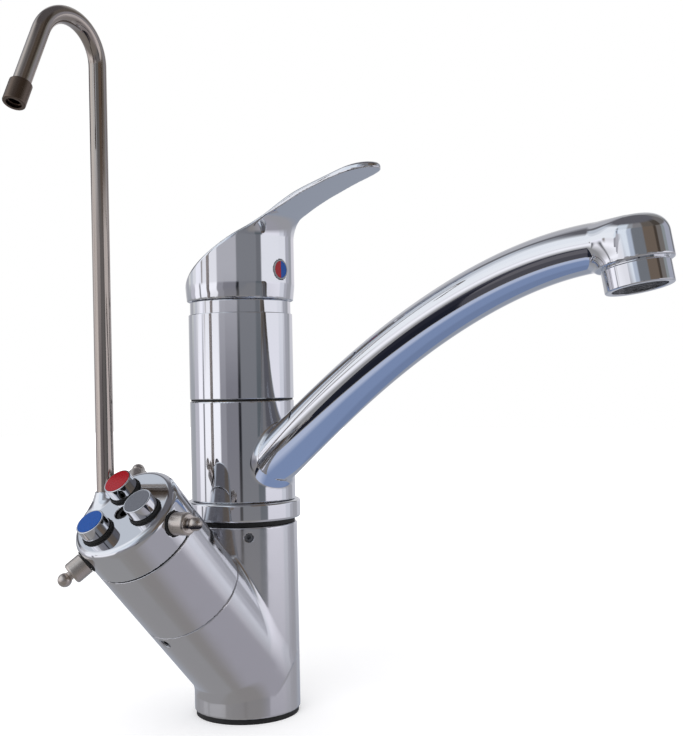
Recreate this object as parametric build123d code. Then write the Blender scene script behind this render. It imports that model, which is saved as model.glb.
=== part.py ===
"""Three way filtered water tap: single lever mixer, push button filter head and two spouts.

Millimetres and degrees. Z is up and the origin is the centre of the foot's underside.
The main spout points along -Y and the filter head leans out along -X.
"""

from build123d import *
from math import cos, pi, radians, sin, sqrt
import os

# ------------------------------------------------------------------ driving dimensions

# Clearances
press_gap = 0.05        # pieces that are screwed or pushed together, per side
running_gap = 0.15      # pieces that turn or slide in one another, per side
face_gap = 0.15         # end faces that pass one another
overrun = 1.0           # how far a cut runs past the face it opens
socket_share = 0.45     # depth of a grub screw's socket, of its length

# Foot and lower body
body_radius = 26.0
gasket_height = 2.5
gasket_radius = 25.2
gasket_rib_height = 1.8
gasket_rib_width = 1.5
gasket_rib_radius = 22.2
body_height = 90.8
foot_chamfer = 0.6
cavity_radius = 20.5
cavity_height = 64.0

# Branch that carries the filter head
branch_tilt = 43.0              # from the vertical
branch_crossing = 22.4          # height where its axis meets the body's axis
branch_radius = 25.7
branch_bore_radius = 20.0       # seat of the head's spigot
branch_seat_depth = 8.8
branch_way_radius = 16.8        # way for the feed tubes behind the seat
branch_seam = 56.3              # along the branch, end of the lower casting
head_seam = 96.3                # along the branch, under the head cap
head_face = 114.3               # along the branch, the polished face

# Inlets and fixing studs in the underside of the centre column
inlet_offset = 9.0
inlet_thread_radius = 4.5       # M10 x 1, wall of the tapped hole
inlet_thread_length = 10.0
waterway_radius = 3.5
stud_offset = 10.5
stud_thread_radius = 3.4        # M8, wall of the tapped hole
stud_thread_length = 12.0

# Centre column, swivel and trim
spigot_radius = 15.6            # of the centre column, in the lower body
washer_height = 2.4
washer_radius = 25.0
trim_radius = 27.8
trim_height = 8.8
trim_round = 1.2
column_radius = 19.0
slip_ring_height = 3.0
slip_ring_depth = 1.3
o_ring_groove_height = 3.2
o_ring_groove_depth = 2.3
ring_land = 1.4                 # metal between two grooves
chamber_depth = 3.5
column_screw_radius = 2.0
column_screw_length = 8.0
column_screw_drop = 4.8         # below the top of the lower body
column_screw_angle = 227.5
upper_washer_height = 0.8

# Main spout
sleeve_radius = 25.5
sleeve_height = 48.5
spout_root_reach = 13.0         # start of the spout's line, inside the sleeve
spout_root_rise = 13.05         # above the sleeve's lower end
spout_root_width = 29.0
spout_root_height = 22.6
spout_tip_drop = 9.4            # end of the spout's line, below the top of the nozzle
spout_tip_width = 27.4
spout_tip_height = 19.2
spout_wall = 3.0
nozzle_reach = 208.0            # outlet centre from the swivel axis
nozzle_height = 194.5           # outlet centre above the deck
nozzle_tilt = 10.5
nozzle_radius = 15.2
nozzle_depth = 17.7             # from the step to the rounded top
nozzle_round = 7.5
aerator_radius = 13.4
aerator_height = 9.3
aerator_thread_radius = 12.0
aerator_thread_length = 7.5
aerator_bore_radius = 10.8
insert_height = 12.0
insert_recess = 1.6
insert_wall = 1.2
insert_plate = 2.0
mesh_hole_radius = 0.8
mesh_pitch = 2.5
spanner_flat = 12.9             # from the nozzle axis
spanner_margin = 1.5            # left above and below each flat
aerator_edge = 0.5
seal_height = 1.5
seal_lip = 1.0                  # the seal reaches this far inside the bore

# Cartridge
sleeve_top_height = 41.4        # chrome sleeve that holds the cartridge
cartridge_seat = 12.0           # above the sleeve's lower end
cartridge_radius = 17.5
cartridge_shoulder_radius = 16.0
base_height = 4.0
body_shoulder = 14.0            # from the base to the shoulder the nut presses on
body_neck = 4.0
chamber_radius = 13.4
lip_height = 6.4
lip_radius = 11.6
disc_height = 2.6
disc_gap = 0.05
moving_disc_radius = 10.6
carrier_height = 3.4
carrier_floor = 0.6             # under the pocket of the stem's tongue
seal_ring_radius = 4.65
seal_ring_height = 1.2
turret_flange_radius = 13.1
turret_flange_height = 2.5
turret_radius = 11.4
turret_rise = 7.0               # above the pivot
turret_slot_width = 7.4
turret_slot_length = 12.0
nut_radius = 20.0
nut_thread_height = 5.4
nut_hexagon = 34.0              # across flats
nut_hexagon_height = 3.6

# Lever, its stem and the cover under it
collar_radius = 24.7
collar_height = 6.5
collar_round = 0.8
pivot_drop = 16.0               # pivot below the lever's rim
lever_travel = 20.0
cover_plate = 1.6
cover_opening_radius = 12.0
cover_spigot_radius = 22.0
cover_spigot_height = 5.7
cover_wall = 1.4
lever_radius = 26.9
lever_rim_radius = 26.1
lever_flare_height = 7.5
lever_clearance = 0.5           # between the lever's hollow and the cover it swings over
lever_neck_start = 29.5         # height above the rim where the front wall turns into the blade
lever_neck_radius = 11.0
lever_neck_turn = 112.0         # direction from the neck's centre to where the blade begins
stem_width = 7.0
stem_depth = 8.0
stem_above = 38.5
stem_below = 4.0
tongue_width = 5.0
tongue_depth = 4.0
tongue_length = 9.7
pin_radius = 1.5
lever_screw_radius = 2.5
lever_screw_length = 8.0
indicator_rise = 14.0           # above the lever's rim
indicator_radius = 4.75
indicator_depth = 3.4
indicator_inlay_radius = 4.1
indicator_inlay_depth = 0.9
indicator_proud = 0.2
indicator_inlay_proud = 0.1     # above its base
lever_front = 26.8              # where the indicator's seat meets the lever's front

# Filter head
housing_bore = 15.0             # radius of the chamber behind the valves
housing_chamber_end = 66.0      # along the branch
housing_spigot_length = 8.3
housing_groove_height = 2.0
housing_groove_depth = 1.6
valve_pitch = 13.7
valve_angles = {"red": 34.0, "blue": 154.0, "grey": 274.0}
collet_radius = 4.9
collet_length = 6.0
feed_radius = 3.05              # for a 6 mm tube
inlet_bore_radius = 5.0
land_start = 80.0               # along the branch
land_thickness = 2.0
land_radius = 2.6
seat_height = 1.2
valve_chamber_radius = 5.2
valve_head_radius = 4.2
valve_head_height = 2.5
valve_stem_radius = 1.6
head_gasket_height = 0.6
head_gasket_radius = 24.9
face_round = 3.4
button_radius = 6.8
button_rise = 7.0
button_travel = 3.5
button_reserve = 0.2            # under a button that is pushed right in
button_skirt = 1.3              # barrel inside the face at rest
button_top = 0.9
button_wall = 1.1
button_edge = 0.25
disc_inlay_radius = 6.2
disc_inlay_depth = 1.0
disc_inlay_proud = 0.25
disc_inlay_edge = 0.3
button_ring_width = 0.45
button_ring_rise = 1.2
button_ring_seat = 0.7
bush_height = 1.4
spring_radius = 4.6             # to the middle of the wire
spring_wire = 0.7
spring_turns = 5
head_screw_radius = 2.5
head_screw_head_radius = 4.0
head_screw_head_height = 3.0
head_screw_recess = 0.9
head_screw_socket = 4.0         # across flats
head_screw_socket_depth = 2.0
head_screw_edge = 0.4
head_screw_reach = 12.0         # into the housing
head_screw_hole = 14.0

# Flow screws round the head
regulator_drop = 7.9            # below the face
regulator_seat = 25.0           # spot face, from the branch axis
regulator_seat_radius = 5.5
regulator_seat_height = 1.0
regulator_radius = 5.0
regulator_length = 8.0
regulator_neck_radius = 1.9
regulator_neck_length = 1.0
regulator_ball_radius = 3.1
regulator_ball_sunk = 0.62      # of the ball, into its neck
regulator_edge = 0.8
regulator_spindle_radius = 2.0
regulator_spindle_end = 22.9    # from the branch axis
needle_radius = 1.3
needle_end = 18.3
needle_reserve = 0.5            # drilled past the needle's point
ring_channel_inner = 21.3
ring_channel_outer = 22.7

# Branch screw
branch_screw_radius = 2.5
branch_screw_length = 5.0
branch_screw_place = 52.0       # along the branch
branch_screw_angle = 180.0

# Filter spout
pipe_x = -71.0
pipe_y = 19.6
pipe_radius = 4.0
pipe_bore_radius = 3.0
pipe_foot = 94.0
pipe_straight_top = 306.7
pipe_bend_radius = 18.5
pipe_bend_angle = 155.0
pipe_leg = 36.5
pipe_heading = 188.0            # direction of the bend, from +X
ferrule_radius = 5.5
ferrule_height = 8.0
ferrule_groove_depth = 1.0
ferrule_groove_height = 1.3
lug_radius = 6.9
lug_shoulder = 106.0
lug_top = 113.8
lug_top_radius = 4.5
lug_foot = 90.0
pipe_way_top = 126.0            # the tube's way is cut clear of the block beside the lug
tip_radius = 5.0
tip_length = 10.5
tip_overhang = 2.0
tip_lip_radius = 3.4
tip_edge = 0.5

# ------------------------------------------------------------------ heights of the stack

body_foot = gasket_height
body_top = body_foot + body_height
cavity_top = body_foot + cavity_height
trim_foot = body_top + washer_height
trim_top = trim_foot + trim_height
spout_foot = trim_top + face_gap
spout_top = spout_foot + sleeve_height
upper_washer_foot = spout_top + face_gap
top_sleeve_foot = upper_washer_foot + upper_washer_height
top_sleeve_top = top_sleeve_foot + sleeve_top_height
column_top = top_sleeve_foot + cartridge_seat
base_top = column_top + base_height
nut_foot = base_top + body_shoulder
cartridge_top = nut_foot + body_neck
lip_foot = cartridge_top - lip_height
fixed_disc_top = base_top + disc_height
moving_disc_foot = fixed_disc_top + disc_gap
moving_disc_top = moving_disc_foot + disc_height
carrier_top = moving_disc_top + carrier_height
collar_top = top_sleeve_top + collar_height
rim = collar_top
indicator_height = rim + indicator_rise
pivot = rim - pivot_drop
stem_tilt = lever_travel / 2
cup_foot = aerator_height + face_gap
cup_top = cup_foot + nozzle_depth

# ------------------------------------------------------------------ small shapes

UPRIGHT = (Align.CENTER, Align.CENTER, Align.MIN)


def rod(radius, low, high, x=0.0, y=0.0):
    """Upright cylinder between two heights."""
    return Pos(x, y, low) * Cylinder(radius, high - low, align=UPRIGHT)


def ring(outer, inner, low, high, x=0.0, y=0.0):
    """Upright tube between two heights."""
    return rod(outer, low, high, x, y) - rod(inner, low, high, x, y)


def cone(low_radius, high_radius, low, high, x=0.0, y=0.0):
    """Upright cone between two heights."""
    return Pos(x, y, low) * Cone(low_radius, high_radius, high - low, align=UPRIGHT)


def hexagon(across_flats, low, high):
    """Upright hexagonal prism."""
    outline = RegularPolygon(across_flats / 2, 6, major_radius=False)
    return Pos(0, 0, low) * extrude(outline, high - low)


def seal(groove_radius, free_radius, height):
    """O-ring that sits in a groove and stops short of the bore round it."""
    section = (free_radius - groove_radius) / 2
    return Pos(0, 0, height) * Torus(groove_radius + section, section)


def grub_screw(radius, length, start):
    """Headless screw along +Z with a hexagon socket in its far end."""
    end = start + length
    socket = hexagon(radius, end - socket_share * length, end)
    return rod(radius - press_gap, start, end) - socket


def edges_at(shape, height, radius):
    """The circular edges of a shape at one height and one radius."""
    found = shape.edges().filter_by(GeomType.CIRCLE)
    return [e for e in found if abs(e.center().Z - height) < 0.01 and abs(e.radius - radius) < 0.01]


def group(shapes):
    """Several separate solids kept in one node."""
    return Compound(children=[part for shape in shapes for part in shape.solids()])


# ------------------------------------------------------------------ frames

lean = radians(branch_tilt)
# Local X climbs the face, local Y is the row's Y and local Z runs out along the branch.
branch_plane = Plane(
    origin=(0, 0, branch_crossing),
    x_dir=(cos(lean), 0, sin(lean)),
    z_dir=(-sin(lean), 0, cos(lean)),
)
# Origin at the outlet of the main spout, local Z up through the nozzle.
nozzle_plane = Plane(
    origin=(0, -nozzle_reach, nozzle_height),
    x_dir=(1, 0, 0),
    z_dir=(0, sin(radians(nozzle_tilt)), cos(radians(nozzle_tilt))),
)
stem_place = Pos(0, 0, pivot) * Rot(X=stem_tilt)


def in_branch(shape):
    """Place a shape that was drawn along the branch."""
    return branch_plane.location * shape


def at_valve(shape, name):
    """Place a shape on the axis of one of the three valves, along the branch."""
    return in_branch(Rot(Z=valve_angles[name]) * Pos(valve_pitch, 0, 0) * shape)


def outward(shape, angle, along):
    """Turn a shape drawn along +Z so that it points outwards from the branch axis."""
    return in_branch(Rot(Z=angle) * Pos(0, 0, along) * Rot(Y=90) * shape)


def at_nozzle(shape):
    """Place a shape that was drawn up from the outlet."""
    return nozzle_plane.location * shape


# ------------------------------------------------------------------ foot and lower body

def make_base_gasket():
    pad = ring(gasket_radius, cavity_radius, 0, gasket_height)
    rib_inner = gasket_rib_radius
    rib_outer = rib_inner + gasket_rib_width
    return pad + ring(rib_outer, rib_inner, gasket_height, gasket_height + gasket_rib_height)


def make_lower_body():
    column = rod(body_radius, body_foot, body_top)
    column = chamfer(edges_at(column, body_foot, body_radius), foot_chamfer)
    casting = column + in_branch(rod(branch_radius, 0, branch_seam))
    casting -= rod(cavity_radius, body_foot, cavity_top)
    casting -= in_branch(rod(branch_way_radius, 0, branch_seam))
    casting -= in_branch(rod(branch_bore_radius, branch_seam - branch_seat_depth, branch_seam + overrun))
    rib_inner = gasket_rib_radius - press_gap
    rib_outer = gasket_rib_radius + gasket_rib_width + press_gap
    casting -= ring(rib_outer, rib_inner, body_foot, body_foot + gasket_rib_height + press_gap)
    casting -= rod(spigot_radius + press_gap, cavity_top, body_top)
    casting -= column_screw_place() * rod(column_screw_radius, spigot_radius, body_radius + overrun)
    hole = rod(branch_screw_radius, branch_bore_radius - overrun, branch_radius + overrun)
    casting -= outward(hole, branch_screw_angle, branch_screw_place)
    return casting


def column_screw_place():
    """Radial frame of the screw under the trim ring."""
    return Pos(0, 0, body_top - column_screw_drop) * Rot(Z=column_screw_angle) * Rot(Y=90)


def make_column_screw():
    start = spigot_radius + press_gap
    return column_screw_place() * grub_screw(column_screw_radius, column_screw_length, start)


def make_branch_screw():
    start = branch_bore_radius
    return outward(grub_screw(branch_screw_radius, branch_screw_length, start),
                   branch_screw_angle, branch_screw_place)


# ------------------------------------------------------------------ centre column and swivel

lower_slip_ring = spout_foot + ring_land
lower_o_ring = lower_slip_ring + slip_ring_height + ring_land
chamber_foot = lower_o_ring + o_ring_groove_height + 2 * ring_land
upper_slip_ring = spout_top - ring_land - slip_ring_height
upper_o_ring = upper_slip_ring - ring_land - o_ring_groove_height
chamber_top = upper_o_ring - 2 * ring_land
mixed_port_height = chamber_foot + waterway_radius + 2 * ring_land
o_ring_free = column_radius + running_gap / 3


def make_centre_column():
    column = rod(spigot_radius, cavity_top, trim_foot) + rod(column_radius, trim_foot, column_top)
    outside = column_radius + overrun
    for foot in (lower_slip_ring, upper_slip_ring):
        column -= ring(outside, column_radius - slip_ring_depth, foot, foot + slip_ring_height)
    for foot in (lower_o_ring, upper_o_ring):
        column -= ring(outside, column_radius - o_ring_groove_depth, foot, foot + o_ring_groove_height)
    column -= ring(outside, column_radius - chamber_depth, chamber_foot, chamber_top)
    for side in (-1, 1):
        x = side * inlet_offset
        column -= rod(inlet_thread_radius, cavity_top, cavity_top + inlet_thread_length, x)
        column -= rod(waterway_radius, cavity_top, column_top, x)
        stud_top = cavity_top + stud_thread_length
        column -= rod(stud_thread_radius, cavity_top, stud_top, 0, side * stud_offset)
    column -= rod(waterway_radius, mixed_port_height, column_top, 0, inlet_offset)
    port = Pos(0, 0, mixed_port_height + waterway_radius) * Rot(X=-90)
    column -= port * rod(waterway_radius - 0.5, inlet_offset, column_radius)
    return column


def make_column_o_rings():
    groove = column_radius - o_ring_groove_depth + press_gap
    middle = o_ring_groove_height / 2
    return group([seal(groove, o_ring_free, foot + middle) for foot in (lower_o_ring, upper_o_ring)])


def make_column_glide_rings():
    inner = column_radius - slip_ring_depth + press_gap
    rings = []
    for foot in (lower_slip_ring, upper_slip_ring):
        rings.append(ring(o_ring_free, inner, foot + press_gap, foot + slip_ring_height - press_gap))
    return group(rings)


def make_swivel_washer():
    return ring(washer_radius, spigot_radius + press_gap, body_top, trim_foot)


def make_trim_ring():
    band = ring(trim_radius, column_radius + press_gap, trim_foot, trim_top)
    rims = edges_at(band, trim_foot, trim_radius) + edges_at(band, trim_top, trim_radius)
    return fillet(rims, trim_round)


def make_upper_washer():
    return ring(washer_radius, column_radius + press_gap, upper_washer_foot, top_sleeve_foot)


# ------------------------------------------------------------------ main spout

# Course of the spout's centre line: share of the way out and of the way up, root to nozzle.
spout_course = [
    (0.0, 0.0),
    (0.079, 0.122),
    (0.159, 0.247),
    (0.287, 0.439),
    (0.407, 0.595),
    (0.519, 0.726),
    (0.628, 0.832),
    (0.730, 0.913),
    (0.821, 0.964),
    (0.913, 0.994),
    (1.0, 1.0),
]
# The line ends on the nozzle's own axis.
nozzle_lean = radians(nozzle_tilt)
spout_root = (spout_root_reach, spout_foot + spout_root_rise)
spout_tip = (nozzle_reach - cup_top * sin(nozzle_lean),
             nozzle_height + cup_top * cos(nozzle_lean) - spout_tip_drop)


def between(start, end, share):
    """Value a share of the way from start to end."""
    return start + (end - start) * share


def spout_sections(trim):
    """Oval sections square to the centre line, smaller all round by trim."""
    line = [(between(spout_root[0], spout_tip[0], out), between(spout_root[1], spout_tip[1], up))
            for out, up in spout_course]
    last = len(line) - 1
    sections = []
    for index, (reach, level) in enumerate(line):
        before = line[max(index - 1, 0)]
        after = line[min(index + 1, last)]
        run = after[0] - before[0]
        climb = after[1] - before[1]
        width = between(spout_root_width, spout_tip_width, index / last)
        height = between(spout_root_height, spout_tip_height, index / last)
        plane = Plane(origin=(0, -reach, level), x_dir=(1, 0, 0), z_dir=(0, -run, climb))
        sections.append(plane * Ellipse(width / 2 - trim, height / 2 - trim))
    return sections


def make_main_spout():
    cup = rod(nozzle_radius, cup_foot, cup_top)
    cup = fillet(edges_at(cup, cup_top, nozzle_radius), nozzle_round)
    spout = rod(sleeve_radius, spout_foot, spout_top) + loft(spout_sections(0)) + at_nozzle(cup)
    spout -= loft(spout_sections(spout_wall))
    spout -= rod(column_radius + running_gap, spout_foot, spout_top)
    thread_top = cup_foot + aerator_thread_length + seal_height
    spout -= at_nozzle(rod(aerator_thread_radius + press_gap, 0, thread_top))
    spout -= at_nozzle(rod(aerator_bore_radius - seal_lip, 0, thread_top + spout_wall))
    return spout


def make_aerator_housing():
    shell = rod(aerator_radius, 0, aerator_height)
    shell = fillet(edges_at(shell, 0, aerator_radius), aerator_edge)
    cutter = Box(spanner_flat, 2 * aerator_radius, aerator_height - 2 * spanner_margin)
    for side in (-1, 1):
        shell -= Pos(side * 1.5 * spanner_flat, 0, aerator_height / 2) * cutter
    shell += rod(aerator_thread_radius, aerator_height, aerator_height + aerator_thread_length)
    shell -= rod(aerator_bore_radius, 0, aerator_height + aerator_thread_length)
    return at_nozzle(shell)


def make_aerator_insert():
    radius = aerator_bore_radius - press_gap
    cup = rod(radius, insert_recess, insert_recess + insert_height)
    cup -= rod(radius - insert_wall, insert_recess + insert_plate, insert_recess + insert_height)
    holes = []
    reach = int(radius / mesh_pitch)
    for row in range(-reach, reach + 1):
        y = row * mesh_pitch * sqrt(3) / 2
        for column in range(-reach, reach + 1):
            x = (column + (row % 2) / 2) * mesh_pitch
            if sqrt(x * x + y * y) < radius - insert_wall - mesh_hole_radius:
                holes.append(rod(mesh_hole_radius, insert_recess, insert_recess + insert_plate, x, y))
    return at_nozzle(cup - holes)


def make_aerator_seal():
    foot = aerator_height + aerator_thread_length
    return at_nozzle(ring(aerator_thread_radius, aerator_bore_radius - seal_lip, foot, foot + seal_height))


# ------------------------------------------------------------------ cartridge

port_places = [(-inlet_offset, 0.0), (inlet_offset, 0.0), (0.0, inlet_offset)]     # hot, cold, mixed


def make_cartridge_sleeve():
    sleeve = rod(sleeve_radius, top_sleeve_foot, top_sleeve_top)
    sleeve -= rod(column_radius + press_gap, top_sleeve_foot, column_top)
    sleeve -= rod(cartridge_radius + press_gap, column_top, nut_foot)
    sleeve -= rod(nut_radius, nut_foot, nut_foot + nut_thread_height + face_gap)
    spigot_foot = top_sleeve_top - cover_spigot_height - face_gap
    sleeve -= rod(cover_spigot_radius + press_gap, spigot_foot, top_sleeve_top)
    return sleeve


def make_cartridge_base():
    base = rod(cartridge_radius, column_top, base_top)
    for x, y in port_places:
        base -= rod(waterway_radius - 0.5, column_top, base_top, x, y)
        base -= rod(seal_ring_radius + press_gap, column_top, column_top + seal_ring_height, x, y)
    return base


def make_cartridge_seals():
    foot = column_top
    top = foot + seal_ring_height
    return group([ring(seal_ring_radius, waterway_radius, foot, top, x, y) for x, y in port_places])


def make_cartridge_body():
    shell = ring(cartridge_radius, chamber_radius, base_top, lip_foot)
    shell += ring(cartridge_radius, lip_radius, lip_foot, nut_foot)
    shell += ring(cartridge_shoulder_radius, lip_radius, nut_foot, cartridge_top)
    return shell


def make_fixed_disc():
    disc = rod(chamber_radius - running_gap, base_top, fixed_disc_top)
    for x, y in port_places:
        disc -= rod(waterway_radius - 0.9, base_top, fixed_disc_top, x, y)
    return disc


# The moving disc and its carrier slide by the arc that the tongue of the stem swings through.
tongue_reach = tongue_length - tongue_depth / 2
slide_travel = 2 * tongue_reach * sin(radians(stem_tilt))
slide_start = slide_travel / 2


def make_moving_disc():
    disc = rod(moving_disc_radius, moving_disc_foot, moving_disc_top, 0, slide_start)
    # A blind pocket that reaches the two inlets only when the lever is lifted.
    recess_edge = waterway_radius - 0.9
    recess_top = moving_disc_foot + disc_height / 2
    round_pocket = rod(moving_disc_radius - 1.4, moving_disc_foot, recess_top, 0, slide_start)
    span = 2 * moving_disc_radius
    half = Pos(0, slide_start + recess_edge, moving_disc_foot) * Box(
        span, span, span, align=(Align.CENTER, Align.MIN, Align.MIN))
    return disc - (round_pocket & half)


def make_disc_carrier():
    carrier = rod(moving_disc_radius, moving_disc_top, carrier_top, 0, slide_start)
    pocket_length = tongue_depth + 6 * running_gap
    pocket_depth = carrier_height - carrier_floor
    pocket = Box(tongue_width + 2 * running_gap, pocket_length, pocket_depth, align=UPRIGHT)
    return carrier - Pos(0, slide_start, carrier_top - pocket_depth) * pocket


def make_cartridge_turret():
    flange_foot = lip_foot - running_gap - turret_flange_height
    turret = rod(turret_flange_radius, flange_foot, flange_foot + turret_flange_height)
    turret += rod(turret_radius, flange_foot, pivot + turret_rise)
    slot_height = pivot + turret_rise - flange_foot
    turret -= Pos(0, 0, flange_foot) * Box(turret_slot_width, turret_slot_length, slot_height, align=UPRIGHT)
    turret -= Pos(0, 0, pivot) * Rot(Y=90) * rod(pin_radius + press_gap, -turret_radius, turret_radius)
    return turret


def make_lever_stem():
    post = Pos(0, 0, -stem_below) * Box(stem_width, stem_depth, stem_above + stem_below, align=UPRIGHT)
    tip_radius_here = tongue_depth / 2
    straight = tongue_length - tip_radius_here
    post += Pos(0, 0, -straight) * Box(tongue_width, tongue_depth, straight, align=UPRIGHT)
    post += Pos(0, 0, -straight) * Rot(Y=90) * rod(tip_radius_here, -tongue_width / 2, tongue_width / 2)
    post -= Rot(Y=90) * rod(pin_radius + running_gap, -stem_width, stem_width)
    return stem_place * post


def make_stem_pin():
    half = sqrt(turret_radius ** 2 - pin_radius ** 2) - press_gap
    return Pos(0, 0, pivot) * Rot(Y=90) * rod(pin_radius, -half, half)


def make_cartridge_nut():
    nut = rod(nut_radius - press_gap, nut_foot, nut_foot + nut_thread_height)
    top = nut_foot + nut_thread_height
    nut += hexagon(nut_hexagon, top, top + nut_hexagon_height)
    return nut - rod(cartridge_shoulder_radius + press_gap, nut_foot, top + nut_hexagon_height)


def make_dome_cover():
    foot = top_sleeve_top - cover_spigot_height
    cover = rod(collar_radius, top_sleeve_top, collar_top)
    cover = fillet(edges_at(cover, collar_top, collar_radius), collar_round)
    cover += rod(cover_spigot_radius, foot, top_sleeve_top)
    cover -= rod(cover_spigot_radius - cover_wall, foot, collar_top - cover_plate)
    return cover - rod(cover_opening_radius, foot, collar_top)


# ------------------------------------------------------------------ lever

# Plan outline of one side of the blade: reach from the axis and half width.
blade_outline = [
    (24.0, 15.2),
    (29.0, 12.7),
    (36.0, 11.5),
    (46.0, 11.1),
    (57.0, 10.6),
    (67.0, 9.9),
    (75.0, 8.9),
    (80.5, 7.0),
    (84.3, 4.0),
    (85.7, 0.0),
]
blade_leaves_at = 47.0          # angle from the front where the blade leaves the round body

# Side profile of the top face: reach from the axis and height above the rim.
top_profile = [
    (-32.0, 0.6),
    (-20.0, 8.0),
    (-8.0, 15.4),
    (4.0, 23.0),
    (14.0, 29.7),
    (23.0, 36.3),
    (31.0, 41.8),
    (39.0, 45.8),
    (48.0, 49.2),
    (58.0, 52.1),
    (68.0, 54.9),
    (78.0, 57.2),
    (90.0, 58.0),
]

# Underside of the blade: distance from the axis and height above the rim.
under_profile = [
    (44.4, 44.3),
    (51.4, 46.9),
    (58.2, 49.0),
    (64.9, 51.0),
    (71.4, 52.6),
    (78.0, 53.9),
    (92.0, 55.6),
]


def make_lever_blank():
    """Round body and blade, cut from a prism of the plan outline."""
    leave = radians(blade_leaves_at)
    start = (lever_radius * sin(leave), -lever_radius * cos(leave))
    points = [start] + [(half, -reach) for reach, half in blade_outline]
    side = Spline(*points, tangents=[(-cos(leave), -sin(leave)), (-1, 0)])
    back = ThreePointArc(start, (0, lever_radius), (-start[0], start[1]))
    outline = make_face(side + mirror(side, Plane.YZ) + back)
    crest_height = top_profile[-1][1]
    prism = Pos(0, 0, rim) * extrude(outline, 1.2 * crest_height)
    top = [(-reach, rim + height) for reach, height in top_profile]
    crest = Spline(*top)
    sky_height = rim + 1.4 * crest_height
    sky = Polyline(top[-1], (top[-1][0], sky_height), (top[0][0], sky_height), top[0])
    cut = extrude(Plane.YZ * make_face(crest + sky), 2 * lever_radius, both=True)
    return prism - cut


def make_lever():
    shell = make_lever_blank()
    # Hollow the space under the blade with one turned profile.
    turn = radians(lever_neck_turn)
    middle = (lever_radius + lever_neck_radius, rim + lever_neck_start)
    half_turn = (pi + turn) / 2
    arc_mid = (middle[0] + lever_neck_radius * cos(half_turn), middle[1] + lever_neck_radius * sin(half_turn))
    arc_end = (middle[0] + lever_neck_radius * cos(turn), middle[1] + lever_neck_radius * sin(turn))
    neck = ThreePointArc((lever_radius, middle[1]), arc_mid, arc_end)
    under = Spline(arc_end, *[(reach, rim + height) for reach, height in under_profile],
                   tangents=[(sin(turn), -cos(turn)), (1, 0.12)])
    flare = rim + lever_flare_height
    below_rim = rim - overrun
    far_reach, far_height = under_profile[-1]
    edge = Polyline((lever_radius, middle[1]), (lever_radius, flare), (lever_rim_radius, rim),
                    (lever_rim_radius, below_rim), (far_reach, below_rim), (far_reach, rim + far_height))
    below = revolve(Plane.XZ * make_face(neck + under + edge), Axis.Z)
    shell -= below
    # The hollow clears the cover from the low to the high end of the lever's travel.
    cover_top = pivot_drop + lever_clearance
    reach = sqrt((collar_radius + press_gap) ** 2 + pivot_drop ** 2) + lever_clearance / 2
    ball = Sphere(reach)
    size = 4 * reach
    low = Pos(0, 0, cover_top - size / 2) * Box(size, size, size)
    high = Rot(X=lever_travel) * low
    hollow = (ball & low) + (ball & high)
    shell -= Pos(0, 0, pivot) * hollow
    socket_size = (stem_width + 2 * press_gap, stem_depth + 2 * press_gap)
    socket = Box(*socket_size, stem_above + press_gap, align=UPRIGHT)
    shell -= stem_place * socket
    shell -= lever_screw_place() * rod(lever_screw_radius, stem_depth / 2, indicator_back)
    shell -= indicator_place() * rod(indicator_radius, indicator_back, indicator_back + 2 * indicator_depth)
    return shell


# The screw is square to the stem and its line meets the indicator's centre.
indicator_back = lever_front - indicator_depth
indicator_front = lever_front + indicator_proud
stem_lean = radians(stem_tilt)
screw_up_stem = (indicator_height - pivot) * cos(stem_lean) + indicator_back * sin(stem_lean)


def lever_screw_place():
    """Frame with Z pointing forwards out of the stem, square to it."""
    return stem_place * Pos(0, 0, screw_up_stem) * Rot(X=90)


def indicator_place():
    """Frame on the front of the lever with Z pointing forwards."""
    return Pos(0, 0, indicator_height) * Rot(X=90)


def make_lever_screw():
    start = stem_depth / 2 + press_gap
    return lever_screw_place() * grub_screw(lever_screw_radius, lever_screw_length, start)


def make_indicator_base():
    plug = rod(indicator_radius - press_gap, indicator_back, indicator_front)
    plug -= rod(indicator_inlay_radius, indicator_front - indicator_inlay_depth, indicator_front)
    return indicator_place() * plug


def make_indicator_half(side):
    foot = indicator_front - indicator_inlay_depth
    inlay = rod(indicator_inlay_radius - press_gap, foot, indicator_front + indicator_inlay_proud)
    width = 2 * indicator_inlay_radius
    half = Pos(side * (width / 2 + press_gap / 2), 0, foot) * Box(width, width, width, align=UPRIGHT)
    return indicator_place() * (inlay & half)


# ------------------------------------------------------------------ filter head

cap_foot = head_seam + head_gasket_height
button_floor = head_face - button_skirt - button_travel - button_reserve
bush_foot = button_floor - bush_height
button_foot = head_face - button_skirt
button_crown = head_face + button_rise
inlay_foot = button_crown - disc_inlay_depth
button_roof = inlay_foot - button_top
button_bore_radius = button_radius + running_gap
valve_head_top = land_start - seat_height - press_gap
valve_head_foot = valve_head_top - valve_head_height
spot_along = head_face - regulator_drop


def make_valve_housing():
    housing = rod(branch_radius, branch_seam + face_gap, head_seam)
    spigot = branch_bore_radius - press_gap
    spigot_foot = branch_seam - housing_spigot_length
    housing += rod(spigot, spigot_foot, branch_seam + face_gap)
    groove_foot = spigot_foot + ring_land
    groove_top = groove_foot + housing_groove_height
    housing -= ring(spigot + overrun, spigot - housing_groove_depth, groove_foot, groove_top)
    housing -= rod(housing_bore, spigot_foot, housing_chamber_end)
    housing -= rod(head_screw_radius, head_seam - head_screw_hole, head_seam)
    housing = in_branch(housing) - rod(body_radius + running_gap, body_foot, trim_foot)
    for name in valve_angles:
        housing -= at_valve(rod(inlet_bore_radius, housing_chamber_end, land_start), name)
        housing -= at_valve(rod(land_radius, land_start, land_start + land_thickness), name)
        housing -= at_valve(rod(valve_chamber_radius, land_start + land_thickness, head_seam), name)
    return housing


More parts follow.
